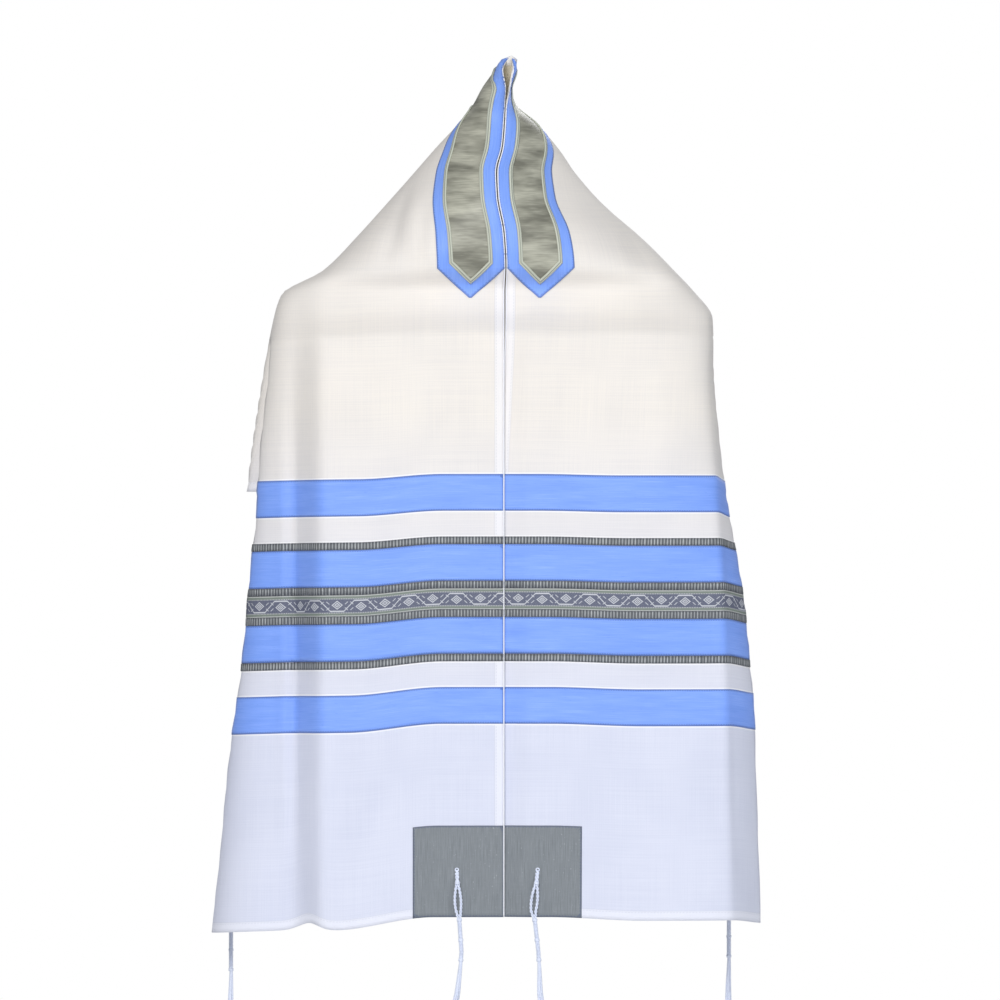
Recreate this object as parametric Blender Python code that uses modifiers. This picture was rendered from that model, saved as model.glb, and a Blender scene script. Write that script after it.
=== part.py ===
"""A tallit, the Jewish prayer shawl, hanging filled out from the middle of its neckband.

Metres, +Z up, the front towards -Y. The origin is the peak, where the shawl is held.

The shawl is one rectangle of cloth. Its long upper edge carries the neckband and comes down
the middle of the front on both sides, so each point of the cloth has two cut coordinates:
    along   distance along the long edge from the neckband's middle, negative on the left half
    across  distance from that edge, from 0 to the cloth's width
A horizontal cut at any drop below the peak crosses the front panels at along = drop and the
back at across = drop, which is the 45 degree fold that a shawl takes round shoulders. The
plan of that cut is a closed loop of known girth, so its depth or its side tucks follow from
the cut size and the width of the outline.
"""

from collections import namedtuple
from math import cos, pi, sin

import bmesh
import bpy
import numpy as np
from mathutils import Vector

MM = 0.001

# The cut of the cloth
HALF_LENGTH = 914.4 * MM
WIDTH = 457.2 * MM
CLOTH_WALL = 1.2 * MM
PIECE_WALL = 1.0 * MM
SEAM_GAP = 0.3 * MM

# Sewn-on strips of each end, in the order that they lie below the peak
BANDS_START = 446.5 * MM
BLUE = 39 * MM
WHITE = 27 * MM
TRIM = 8 * MM
RIBBON = 22 * MM

# Strips of each end and the white stripes between them, from the top down
BAND_ORDER = [
    ("band_upper", BLUE),
    (None, WHITE),
    ("trim_a", TRIM),
    ("band_middle_upper", BLUE),
    ("trim_b", TRIM),
    ("ribbon", RIBBON),
    ("trim_c", TRIM),
    ("band_middle_lower", BLUE),
    ("trim_d", TRIM),
    (None, WHITE),
    ("band_lower", BLUE),
]

# Corner patches and the eyelets that the fringes hang from
PATCH = 96.5 * MM
EYELET_INSET = 50 * MM

# Neckband: blue silk with a grey silk panel on it, both pointed at their ends
NECKBAND_WIDTH = 72 * MM
NECKBAND_CORNER = 228 * MM
NECKBAND_TIP = 260 * MM
PANEL_NEAR_EDGE = 13 * MM
PANEL_FAR_EDGE = 59 * MM
PANEL_CORNER = 223 * MM
PANEL_TIP = 244 * MM
TIP_WIDTH = 0.04
NECKBAND_EASE = 0.8 * MM
PANEL_EASE = 0.5 * MM
STRIP_EASE = 0.15 * MM

# Fringes: eight strings out of a wound and knotted head
FRINGE_LENGTH = 260 * MM
HEAD_LENGTH = 96 * MM
HEAD_RADIUS = 1.9 * MM
KNOT_RADIUS = 2.7 * MM
KNOT_SPACING = 22 * MM
STRING_HALF_WIDTH = 0.45 * MM
STRING_ROOT_RADIUS = 1.2 * MM
STRING_SPREAD = 5.5 * MM
STRING_WANDER = 1.2 * MM
STRING_STAGGER = 4 * MM
STRING_STEPS = 6
ROOT_INSET = 0.12 * MM

# Plan of the shawl
PEAK_LEAN = 7.4 * MM
OPENING_DROPS = [0, 13, 36, 56]
OPENING_GAPS = [2, 11, 4, 1.6]
UNDERLAP_SETBACK = 5 * MM
UNDERLAP_REACH = 30 * MM
SETBACK_FROM = 262 * MM
SETBACK_OVER = 20 * MM
TUCK_HALF_MOUTH = 40 * MM
TUCK_SHIFT = 0.45
FULL_TUCK = 12 * MM
ALIGN_FROM = 130 * MM
ALIGN_BY = 230 * MM
HEM_TURN = 1.2
TAIL_POINTS = 60
TUCK_ROUNDNESS = 1.6
FLUTE_DEPTH = 22 * MM
FLUTES = 4
DROOP_FROM = 0.2
DROOP_OVER = 0.35
EARLY_DROOP = 0.65
RIGHT_DROOP_SHARE = 0.2
FRONT_ARC = 1.3
LOOP_POINTS = 640
CROWDING = 0.95

Section = namedtuple(
    "Section",
    "drop left right slit underlap squareness_left squareness_right depth fold back_reach droop",
)

# One row for each drop where the outline turns, in millimetres. left, right and slit are
# sideways places of the outline and of the front edges; depth is the greatest front to back;
# fold is how far the left fold steps back; back_reach is how far the back drape stands out
# past the left front; droop is how much lower the outer parts hang.
SECTIONS = [
    Section(0, -4, 13, 6, 0, 2.0, 2.0, 200, 0, 0, 0),
    Section(13, -8, 12, 3.4, 0, 2.0, 2.0, 200, 0, 0, 0),
    Section(36, -23, 5, 1.9, 0, 2.0, 2.0, 200, 0, 0, 0),
    Section(56, -34, 12, 0, 0, 2.0, 2.0, 200, 0, 0, 0),
    Section(77, -53, 37, -1, 0, 1.9, 1.7, 200, 0, 0, 0),
    Section(100, -75, 57, -3, 0, 1.7, 1.4, 200, 0, 0, 0),
    Section(127, -99, 76, -9, 0, 1.6, 1.25, 200, 0, 0, 0),
    Section(153, -122, 98, -8, 0, 1.7, 1.25, 210, 0, 0, 0),
    Section(192, -157, 142, -1, 0, 2.1, 1.65, 210, 0, 0, 1),
    Section(228, -194, 178, 1, 0, 2.6, 2.4, 200, 0, 0, 2),
    Section(252, -238, 201, 0, 0, 3.2, 3.2, 190, 4, 0, 3),
    Section(280, -247, 221, 0, 0, 4.0, 3.8, 186, 10, 2, 4),
    Section(357, -257, 225, 0, 3, 4.6, 4.4, 184, 22, 7, 6),
    Section(457, -268, 237, 0, 8, 4.8, 4.8, 184, 28, 12, 8),
    Section(522, -275, 250, 0, 10, 4.8, 5.0, 184, 30, 12, 9),
    Section(637, -286, 267, 0, 13, 4.8, 5.0, 186, 30, 10, 12),
    Section(722, -296, 276, 0, 15, 4.8, 4.8, 190, 28, 9, 14),
    Section(915, -316, 286, 0, 16, 4.8, 4.6, 200, 26, 8, 20),
]

# Where the left fold's ridge and valley lie, sideways from the front edges
FOLD_RIDGE = 190 * MM
FOLD_VALLEY = 226 * MM
CORNER_DROPS = [300, 457, 522, 637, 722, 915]
CORNER_WIDTHS = [6, 14, 26, 34, 42, 49]
CORNER_SLOPE = 0.8
CORNER_DROOP = 6 * MM
VALLEY_LIFT = 8 * MM
VALLEY_LIFT_WIDTH = 15 * MM

# The lines that the cloth's faces follow, shared by both directions up to the width
SHARED_LINES = [0, 13, 36, 59, 72, 96.5, 125, 150, 175, 200, 228, 252, 280, 305, 330, 360.7, 380,
                405, 427, 446.5, 457.2]
PLAIN_LINES = [760, 817.9, 864.4, 914.4]

BLUE_SILK = (0.25, 0.40, 1.0)
WHITE_WOOL = (0.82, 0.80, 0.78)
GREY_SILK = (0.23, 0.26, 0.28)
PANEL_SILK = (0.21, 0.21, 0.18)
TRIM_BRAID = (0.12, 0.13, 0.14)
RIBBON_CLOTH = (0.17, 0.17, 0.22)
STRING_WOOL = (0.78, 0.84, 0.95)


def smooth_step(value):
    """0 below 0, 1 above 1, and an even S between."""
    t = np.clip(value, 0.0, 1.0)
    return t * t * (3.0 - 2.0 * t)


def smooth_rows(xs, ys, x):
    """A curve through the rows of a table with no overshoot between them."""
    xs, ys = np.asarray(xs, float), np.asarray(ys, float)
    steps = np.diff(xs)
    slopes = np.diff(ys) / steps
    tangents = np.zeros_like(ys)
    tangents[0], tangents[-1] = slopes[0], slopes[-1]
    same_way = slopes[:-1] * slopes[1:] > 0
    harmonic = 2 * slopes[:-1] * slopes[1:] / np.where(same_way, slopes[:-1] + slopes[1:], 1.0)
    tangents[1:-1] = np.where(same_way, harmonic, 0.0)
    k = int(np.clip(np.searchsorted(xs, x) - 1, 0, len(steps) - 1))
    t = (x - xs[k]) / steps[k]
    h = steps[k]
    return float(
        ys[k] * (1 + 2 * t) * (1 - t) ** 2
        + tangents[k] * h * t * (1 - t) ** 2
        + ys[k + 1] * t * t * (3 - 2 * t)
        + tangents[k + 1] * h * t * t * (t - 1)
    )


def section_at(drop):
    """The table's values at any drop, in metres but for the two squareness columns."""
    drops = [row.drop for row in SECTIONS]
    values = {}
    for name in Section._fields[1:]:
        value = smooth_rows(drops, [getattr(row, name) for row in SECTIONS], drop / MM)
        values[name] = value if name.startswith("squareness") else value * MM
    return Section(drop=drop, **values)


def signed_power(base, exponent):
    return np.sign(base) * np.abs(base) ** exponent


def tuck_centre(section):
    """How far behind the middle the left tuck lies, because the left fold takes up the front."""
    return section.fold * TUCK_SHIFT


def widening(section, depth):
    """How much wider a loop is at its middle than at the edges of its side tucks."""
    squareness = (section.squareness_left + section.squareness_right) / 2
    edge = min(2 * TUCK_HALF_MOUTH / max(depth, MM), 0.7)
    return (1 - edge ** squareness) ** (-1 / squareness)


def plan_loop(section, depth, tuck):
    """Plan of the cloth at one drop, from the left front edge round the back to the right one.

    A rounded rectangle through the outline's two sides. Its turning angle is 0 at the middle
    of the front, a quarter turn at the left side and a half turn at the back.
    """
    middle = (section.left + section.right) / 2
    half = (section.right - section.left) / 2
    half *= 1 + smooth_step(tuck / FULL_TUCK) * (widening(section, depth) - 1)

    def outline_at(angle):
        sideways, forwards = np.sin(angle), np.cos(angle)
        leftness = smooth_step(0.5 + sideways * 2)
        squareness = section.squareness_right + leftness * (
            section.squareness_left - section.squareness_right
        )
        squareness = np.where(forwards > 0, squareness, np.maximum(squareness, 2.0))
        x = middle - half * signed_power(sideways, 2 / squareness)
        y = -depth / 2 * signed_power(forwards, 2 / squareness)
        return x, y, leftness

    front = FRONT_ARC * np.linspace(1, -1, 2 * LOOP_POINTS + 1) ** 3
    front_x = outline_at(front)[0]
    gap = np.interp(section.drop / MM, OPENING_DROPS, OPENING_GAPS) * MM
    start = np.interp(section.slit - gap / 2, front_x, front)
    end = 2 * pi + np.interp(section.slit + gap / 2 - section.underlap, front_x, front)
    even = np.linspace(start, end, LOOP_POINTS)
    angle = even - CROWDING * (np.sin(4 * even) - np.sin(4 * start)) / 4
    angle = start + (angle - start) * (end - start) / (angle[-1] - start)
    x, y, leftness = outline_at(angle)

    behind = smooth_step(y / (0.25 * depth + MM))
    outer = smooth_step((np.abs(x - middle) / half - 0.5) / 0.5)
    outermost = smooth_step((np.abs(x - middle) / half - 0.78) / 0.18)
    x = x - section.back_reach * behind * outer * leftness

    in_front = smooth_step(-y / (0.2 * depth + MM) + 0.2)
    step_back = smooth_step((section.slit - x - FOLD_RIDGE) / (FOLD_VALLEY - FOLD_RIDGE))
    y = y + section.fold * step_back * in_front * leftness

    corner_width = np.interp(section.drop / MM, CORNER_DROPS, CORNER_WIDTHS) * MM
    past_corner = np.clip((x - section.right + corner_width) / corner_width, 0, 1)
    y = y + CORNER_SLOPE * corner_width * past_corner * in_front * (1 - leftness)

    flute_growth = smooth_step((section.drop - 0.18) / (WIDTH - 0.18))
    flutes = np.cos((x - middle) / half * pi * FLUTES) * (1 - outer)
    y = y - FLUTE_DEPTH * flute_growth * behind * flutes

    off_centre = (y - tuck_centre(section) * leftness) / TUCK_HALF_MOUTH
    mouth = np.clip(1 - off_centre ** 2, 0, 1) ** TUCK_ROUNDNESS
    x = x - tuck * mouth * outermost * np.sign(x - middle)

    setback = smooth_step((section.drop - SETBACK_FROM) / SETBACK_OVER) * UNDERLAP_SETBACK
    near_slit = smooth_step(1 - (x - section.slit) / UNDERLAP_REACH)
    last_quarter = angle > 1.75 * pi
    y = y + np.where(last_quarter, setback * near_slit, 0.0)
    return np.column_stack([x - PEAK_LEAN, y])


def arc_lengths(points):
    steps = np.linalg.norm(np.diff(points, axis=0), axis=1)
    return np.concatenate([[0.0], np.cumsum(steps)])


def girth_of(section, depth, tuck):
    return arc_lengths(plan_loop(section, depth, tuck))[-1]


def solve(girth_for, low, high, girth):
    """The value between low and high that gives the girth, by halving."""
    for _ in range(40):
        middle = (low + high) / 2
        low, high = (middle, high) if girth_for(middle) < girth else (low, middle)
    return (low + high) / 2


def halves_of(loop):
    """The loop from each front edge to the middle of the back."""
    measured = arc_lengths(loop)
    middle = int(np.searchsorted(measured, measured[-1] / 2))
    centre = [np.interp(measured[-1] / 2, measured, loop[:, k]) for k in range(2)]
    left = np.vstack([loop[:middle], centre])
    right = np.vstack([loop[: middle - 1 : -1], centre])
    return left, right


def length_to(line, level):
    """Length along a half to where it first passes a level, counted towards the back."""
    measured = arc_lengths(line)
    after = max(1, int(np.argmax(line[:, 1] > level)))
    before = after - 1
    share = (level - line[before, 1]) / (line[after, 1] - line[before, 1] + 1e-12)
    return measured[before] + float(np.clip(share, 0, 1)) * (measured[after] - measured[before])


def mouth_and_side(line, centre):
    """Length along a half to where its front ends, and to the middle of its tuck."""
    return length_to(line, centre - TUCK_HALF_MOUTH), length_to(line, centre)


def tail_of(line, start, end):
    """A stretch of a half, from its start, as TAIL_POINTS even steps."""
    measured = arc_lengths(line)
    places = np.linspace(start, end, TAIL_POINTS)
    stretch = np.column_stack([np.interp(places, measured, line[:, k]) for k in range(2)])
    return stretch - stretch[0]


def hem_tail(length, inwards):
    """How the outer part of an end turns back at the hem, curling inwards as it goes."""
    turn = np.linspace(0.0, HEM_TURN, TAIL_POINTS)
    step = length / (TAIL_POINTS - 1)
    x = np.concatenate([[0.0], np.cumsum(np.sin(turn[1:]) * step * inwards)])
    y = np.concatenate([[0.0], np.cumsum(np.cos(turn[1:]) * step)])
    return np.column_stack([x, y])


class Half:
    """One half of a plan, from its front edge, which gives the point at a distance along it."""

    def __init__(self, line, cut, measure, heights):
        self.line, self.cut, self.measure = line, cut, measure
        self.measured = arc_lengths(line)
        self.heights = heights

    def at(self, distance):
        place = np.interp(distance, self.cut, self.measure)
        x, y = (np.interp(place, self.measured, self.line[:, k]) for k in range(2))
        return np.array([x, y, np.interp(place, self.measured, self.heights)])


class Plan:
    """One drop's loop, or the two open ends below the back drape."""

    def __init__(self, drop):
        section = section_at(max(drop, 0.5 * MM))
        self.section, self.drop = section, drop
        self.middle = (section.left + section.right) / 2 - PEAK_LEAN
        self.half_width = (section.right - section.left) / 2
        self.centres = (tuck_centre(section), 0.0)
        self.halves = self.closed() if drop <= WIDTH else self.open()

    def heights(self, line):
        """Level but for the outer parts, which droop, and the lifted valley of the left fold."""
        out = (line[:, 0] - self.middle) / self.half_width
        early = smooth_step((np.abs(out) - DROOP_FROM) / DROOP_OVER)
        late = np.clip(np.abs(out), 0, 1) ** 3
        left_share = EARLY_DROOP * early + (1 - EARLY_DROOP) * late
        share = np.where(out < 0, left_share, RIGHT_DROOP_SHARE * early)
        valley = self.section.slit - PEAK_LEAN - (FOLD_RIDGE + FOLD_VALLEY) / 2
        near_valley = np.exp(-(((line[:, 0] - valley) / VALLEY_LIFT_WIDTH) ** 2))
        near_valley = near_valley * smooth_step(-line[:, 1] / VALLEY_LIFT_WIDTH)
        near_hem = smooth_step((self.drop - 0.7) / 0.2)
        corner_width = np.interp(self.drop / MM, CORNER_DROPS, CORNER_WIDTHS) * MM
        past_corner = smooth_step((line[:, 0] + PEAK_LEAN - self.section.right) / corner_width + 1)
        low_corner = CORNER_DROOP * past_corner * smooth_step((self.drop - 0.3) / 0.15)
        return (
            -self.drop - self.section.droop * share - low_corner
            + VALLEY_LIFT * near_valley * near_hem
        )

    def closed(self):
        section, depth, tuck = self.section, self.section.depth, 0.0
        girth = 4 * section.drop
        if girth_of(section, depth, 0.0) >= girth:
            depth = solve(lambda d: girth_of(section, d, 0.0), 0.0, depth, girth)
        else:
            tuck = solve(lambda t: girth_of(section, depth, t), 0.0, 0.2, girth)
        aligned = float(smooth_step((self.drop - ALIGN_FROM) / (ALIGN_BY - ALIGN_FROM)))
        halves = []
        for line, centre in zip(halves_of(plan_loop(section, depth, tuck)), self.centres):
            mouth, side = mouth_and_side(line, centre)
            mouth = min(mouth, 0.9 * self.drop)
            side = self.drop + aligned * (side - self.drop)
            cut = [0.0, mouth, self.drop, 2 * self.drop]
            measure = [0.0, mouth, side, arc_lengths(line)[-1]]
            halves.append(Half(line, cut, measure, self.heights(line)))
        return halves

    def open(self):
        share = float(smooth_step((self.drop - WIDTH) / (HALF_LENGTH - WIDTH)))
        halves = []
        loop = plan_loop(self.section, self.section.depth, 0.0)
        for number, line in enumerate(halves_of(loop)):
            inwards = 1 if number == 0 else -1
            mouth, _ = mouth_and_side(line, self.centres[number])
            measured = arc_lengths(line)
            corner = [np.interp(mouth, measured, line[:, k]) for k in range(2)]
            front = np.vstack([line[measured < mouth - 1e-9], corner])
            upper = plan_at(WIDTH).halves[number]
            first_wall = tail_of(
                upper.line, *mouth_and_side(upper.line, plan_at(WIDTH).centres[number])
            )
            tail = (1 - share) * first_wall + share * hem_tail(WIDTH - mouth, inwards)
            line = np.vstack([front, front[-1] + tail[1:]])
            measure = [0.0, arc_lengths(front)[-1], arc_lengths(line)[-1]]
            halves.append(
                Half(line, [0.0, measure[1], WIDTH], measure, self.heights(line))
            )
        return halves


PLANS = {}


def plan_at(drop):
    key = round(drop / MM, 4)
    if key not in PLANS:
        PLANS[key] = Plan(drop)
    return PLANS[key]


def cloth_point(along, across):
    """The place of a point of the flat cut on the hanging shawl."""
    drop = max(abs(along), across)
    if drop == 0.0:
        return np.zeros(3)
    distance = across if abs(along) >= across else 2 * drop - abs(along)
    return plan_at(drop).halves[1 if along > 0 else 0].at(distance)


def band_lines():
    """Distances below the peak where one band or stripe ends and the next begins."""
    widths = [width for _, width in BAND_ORDER]
    return [BANDS_START + sum(widths[:count]) for count in range(len(widths) + 1)]


def strip_edges():
    """Name, start and end of each sewn-on strip, with half a gap where two strips meet."""
    lines = band_lines()
    names = [None] + [name for name, _ in BAND_ORDER] + [None]
    strips = []
    for number, (name, _) in enumerate(BAND_ORDER):
        before = SEAM_GAP / 2 if names[number] else 0.0
        after = SEAM_GAP / 2 if names[number + 2] else 0.0
        if name:
            strips.append((name, lines[number] + before, lines[number + 1] - after))
    return strips


def long_lines():
    """Distances along one half of the cloth where its faces meet."""
    bands = [round(line / MM, 1) for line in band_lines()]
    return [line * MM for line in sorted(set(SHARED_LINES) | set(bands) | set(PLAIN_LINES))]


def make_material(name, colour, roughness):
    material = bpy.data.materials.new(name)
    material.use_nodes = True
    shader = material.node_tree.nodes["Principled BSDF"]
    shader.inputs["Base Color"].default_value = (*colour, 1.0)
    shader.inputs["Roughness"].default_value = roughness
    shader.inputs["Metallic"].default_value = 0.0
    return material


def add_object(name, mesh, material, collection):
    mesh.materials.append(material)
    thing = bpy.data.objects.new(name, mesh)
    collection.objects.link(thing)
    return thing


class FoldedCloth:
    """The folded sheet, read by where a point lies on the flat cut."""

    def __init__(self, alongs, acrosses):
        self.alongs, self.acrosses = np.array(alongs), np.array(acrosses)
        self.points = np.array([[cloth_point(u, v) for v in acrosses] for u in alongs])
        self.normals = np.zeros_like(self.points)

    def between(self, table, along, across):
        i = int(np.clip(np.searchsorted(self.alongs, along) - 1, 0, len(self.alongs) - 2))
        j = int(np.clip(np.searchsorted(self.acrosses, across) - 1, 0, len(self.acrosses) - 2))
        s = (along - self.alongs[i]) / (self.alongs[i + 1] - self.alongs[i])
        t = (across - self.acrosses[j]) / (self.acrosses[j + 1] - self.acrosses[j])
        near = (1 - s) * table[i, j] + s * table[i + 1, j]
        far = (1 - s) * table[i, j + 1] + s * table[i + 1, j + 1]
        return (1 - t) * near + t * far

    def point(self, along, across, lift=0.0):
        """A point of the sheet, moved out of its outer face by the lift."""
        normal = self.between(self.normals, along, across)
        normal = normal / max(np.linalg.norm(normal), 1e-9)
        return Vector(self.between(self.points, along, across) + normal * lift)


def flat_grid(bm, columns, rows):
    """A flat grid of faces, and its vertices by their column and row."""
    bmesh.ops.create_grid(bm, x_segments=columns, y_segments=rows, size=1.0)
    corners = {}
    for vertex in bm.verts:
        i = round((vertex.co.x + 1) / 2 * columns)
        j = round((vertex.co.y + 1) / 2 * rows)
        corners[i, j] = vertex
    return corners


def crease_on_fold(corners, alongs, acrosses):
    """Splits the faces that lie on the 45 degree fold along it."""
    for i in range(len(alongs) - 1):
        for j in range(len(acrosses) - 1):
            ends = sorted((abs(alongs[i]), abs(alongs[i + 1])))
            if not np.allclose(ends, (acrosses[j], acrosses[j + 1]), rtol=0.0, atol=SEAM_GAP):
                continue
            on_left = alongs[i + 1] <= 0
            first = corners[(i + 1, j) if on_left else (i, j)]
            second = corners[(i, j + 1) if on_left else (i + 1, j + 1)]
            face = next(f for f in first.link_faces if second in f.verts)
            bmesh.utils.face_split(face, first, second)


def piece_mesh(name, cloth, alongs, acrosses, lift, across_at=None):
    """A grid over part of the flat cut, laid on the folded cloth and lifted off it.

    across_at moves the lines of a pointed end together: it takes a distance along and a
    distance across and gives the new distance across.
    """
    bm = bmesh.new()
    corners = flat_grid(bm, len(alongs) - 1, len(acrosses) - 1)
    for (i, j), vertex in corners.items():
        along, across = alongs[i], acrosses[j]
        if across_at:
            across = across_at(along, across)
        vertex.co = cloth.point(along, across, lift)
    crease_on_fold(corners, alongs, acrosses)
    bm.normal_update()
    if name == "shawl_cloth":
        for (i, j), vertex in corners.items():
            cloth.normals[i, j] = vertex.normal
    mesh = bpy.data.meshes.new(name)
    bm.to_mesh(mesh)
    bm.free()
    mesh.shade_smooth()
    return mesh


def thicken(thing, wall):
    """Gives an open sheet its wall, half to each side."""
    solidify = thing.modifiers.new("wall", "SOLIDIFY")
    solidify.thickness = wall
    solidify.offset = 0.0
    return thing


def lift_of(layer):
    """How far a piece's middle lies off the cloth's, for layers counted from the cloth."""
    return CLOTH_WALL / 2 + layer * SEAM_GAP + (layer - 0.5) * PIECE_WALL


def pointed(low, high, corner, tip):
    """Draws a strip's lines together between its corners and its tip."""
    centre = (low + high) / 2

    def across_at(along, across):
        share = min(max((abs(along) - corner) / (tip - corner), 0.0), 1.0)
        return centre + (across - centre) * (1 - share * (1 - TIP_WIDTH))

    return across_at


def lines_between(lines, low, high, extra=()):
    """The cloth's lines inside a stretch, with its two ends and any more of its own."""
    inside = [line for line in lines if low + MM < line < high - MM]
    return sorted(set(inside) | {low, high} | set(extra))


def add_neckband(cloth, collection, blue, grey):
    alongs = list(cloth.alongs)
    acrosses = list(cloth.acrosses)
    sizes = [
        ("neckband_border", 0.0, NECKBAND_WIDTH, NECKBAND_CORNER, NECKBAND_TIP, 1, blue),
        ("neckband_panel", PANEL_NEAR_EDGE, PANEL_FAR_EDGE, PANEL_CORNER, PANEL_TIP, 2, grey),
    ]
    for name, low, high, corner, tip, layer, material in sizes:
        columns = lines_between(alongs, -tip, tip, (-corner, corner))
        rows = lines_between(acrosses, low, high)
        mesh = piece_mesh(
            name, cloth, columns, rows, lift_of(layer) + NECKBAND_EASE + (layer - 1) * PANEL_EASE,
            pointed(low, high, corner, tip),
        )
        thicken(add_object(name, mesh, material, collection), PIECE_WALL)


def add_strips(cloth, collection, materials):
    for side, sign in (("left", -1), ("right", 1)):
        for name, start, end in strip_edges():
            columns = lines_between(cloth.alongs, *sorted((sign * start, sign * end)))
            mesh = piece_mesh(
                f"{name}_{side}", cloth, columns, list(cloth.acrosses), lift_of(1) + STRIP_EASE
            )
            material = materials[name.split("_")[0]]
            thicken(add_object(f"{name}_{side}", mesh, material, collection), PIECE_WALL)


def add_patches(cloth, collection, material):
    for side, sign in (("left", -1), ("right", 1)):
        for place, low in (("front", 0.0), ("back", WIDTH - PATCH)):
            stretch = sorted((sign * (HALF_LENGTH - PATCH), sign * HALF_LENGTH))
            columns = lines_between(cloth.alongs, *stretch)
            rows = lines_between(cloth.acrosses, low, low + PATCH)
            mesh = piece_mesh(f"patch_{place}_{side}", cloth, columns, rows, lift_of(1))
            thicken(
                add_object(f"patch_{place}_{side}", mesh, material, collection), PIECE_WALL
            )


# Sideways sway of each fringe on its way down, in millimetres, at even steps below the eyelet
SWAYS = {
    "fringe_front_left": (0, 2, 5, 1, -8, -11, -12),
    "fringe_front_right": (0, -4, 1, 3, 9, 12, 13),
    "fringe_back_left": (0, 0, -1, -4, 3, 5, 6),
    "fringe_back_right": (0, 0, 2, 7, 2, 1, 3),
}


def fringe_route(cloth, name, along, across):
    """A function of the distance below the eyelet that gives the middle of the fringe."""
    lift = lift_of(1) + PIECE_WALL / 2 + 2 * SEAM_GAP + KNOT_RADIUS
    sign = 1 if along > 0 else -1
    hem = cloth.point(sign * HALF_LENGTH, across, lift)
    sways = SWAYS[name]
    reach = HALF_LENGTH - abs(along)

    def at(distance):
        if distance < reach:
            base = cloth.point(along + sign * distance, across, lift)
        else:
            base = hem + Vector((0, 0, -(distance - reach)))
        sway = np.interp(distance / FRINGE_LENGTH * (len(sways) - 1), range(len(sways)), sways)
        outwards = Vector((0, 1, 0)) if "back" in name else Vector((1, 0, 0))
        return base + outwards * float(sway) * MM

    return at


def ring_points(centre, radius):
    """Twelve points round a head, in the order of the edge of a three by three grid."""
    steps = [-1, -1 / 3, 1 / 3, 1]
    edge = [(x, -1) for x in steps] + [(1, y) for y in steps[1:]]
    edge += [(x, 1) for x in reversed(steps[:-1])] + [(-1, y) for y in reversed(steps[1:-1])]
    return [centre + Vector((*disc_point(x, y, radius), 0)) for x, y in edge]


def disc_point(x, y, radius):
    """A point of a square moved to a disc."""
    return radius * x * (1 - y * y / 2) ** 0.5, radius * y * (1 - x * x / 2) ** 0.5


def fringe_mesh(name, route):
    """A wound head whose lower face splits into eight strings, all in one closed body."""
    bm = bmesh.new()
    rings = []
    distances = np.arange(0.0, HEAD_LENGTH + MM, KNOT_SPACING / 4)
    for number, distance in enumerate(distances):
        radius = KNOT_RADIUS if number % 4 == 1 else HEAD_RADIUS
        rings.append([bm.verts.new(p) for p in ring_points(route(distance), radius)])
    bm.faces.new(rings[0])
    for upper, lower in zip(rings, rings[1:]):
        for k in range(12):
            bm.faces.new((upper[k], lower[k], lower[(k + 1) % 12], upper[(k + 1) % 12]))
    foot = route(distances[-1])
    steps = [-1, -1 / 3, 1 / 3, 1]
    edge = [(i, 0) for i in range(4)] + [(3, j) for j in range(1, 4)]
    edge += [(i, 3) for i in (2, 1, 0)] + [(0, j) for j in (2, 1)]
    cap = dict(zip(edge, rings[-1]))
    for i in (1, 2):
        for j in (1, 2):
            offset = Vector((*disc_point(steps[i], steps[j], HEAD_RADIUS), 0))
            cap[i, j] = bm.verts.new(foot + offset)
    for i in range(3):
        for j in range(3):
            cell = [cap[i, j], cap[i, j + 1], cap[i + 1, j + 1], cap[i + 1, j]]
            face = bm.faces.new(cell)
            if (i, j) != (1, 1):
                add_string(bm, face, route, distances[-1], (i - 1, j - 1), 3 * i + j)
    bmesh.ops.recalc_face_normals(bm, faces=bm.faces)
    mesh = bpy.data.meshes.new(name)
    bm.to_mesh(mesh)
    bm.free()
    mesh.shade_smooth()
    return mesh


def add_string(bm, root, route, start, direction, number):
    """Draws one string of four sides out of a face of the head's foot."""
    bmesh.ops.inset_individual(bm, faces=[root], thickness=ROOT_INSET, depth=0.0)
    lean = Vector((*direction, 0)).normalized()
    length = FRINGE_LENGTH - start - (number % 4) * STRING_STAGGER
    face = root
    for step in range(1, STRING_STEPS + 1):
        share = step / STRING_STEPS
        face = bmesh.ops.extrude_discrete_faces(bm, faces=[face])["faces"][0]
        wander = STRING_WANDER * sin(number * 1.7 + step * 1.3) * share
        spread = STRING_ROOT_RADIUS + STRING_SPREAD * share ** 0.6 + wander
        target = route(start + length * share) + lean * spread
        middle = face.calc_center_median()
        for vertex in face.verts:
            away = vertex.co - middle
            corner = Vector((np.sign(away.x), np.sign(away.y), 0))
            vertex.co = target + corner * STRING_HALF_WIDTH


def add_fringes(cloth, collection, material):
    for side, sign in (("left", -1), ("right", 1)):
        for place, across in (("front", EYELET_INSET), ("back", WIDTH - EYELET_INSET)):
            name = f"fringe_{place}_{side}"
            route = fringe_route(cloth, name, sign * (HALF_LENGTH - EYELET_INSET), across)
            add_object(name, fringe_mesh(name, route), material, collection)


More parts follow.
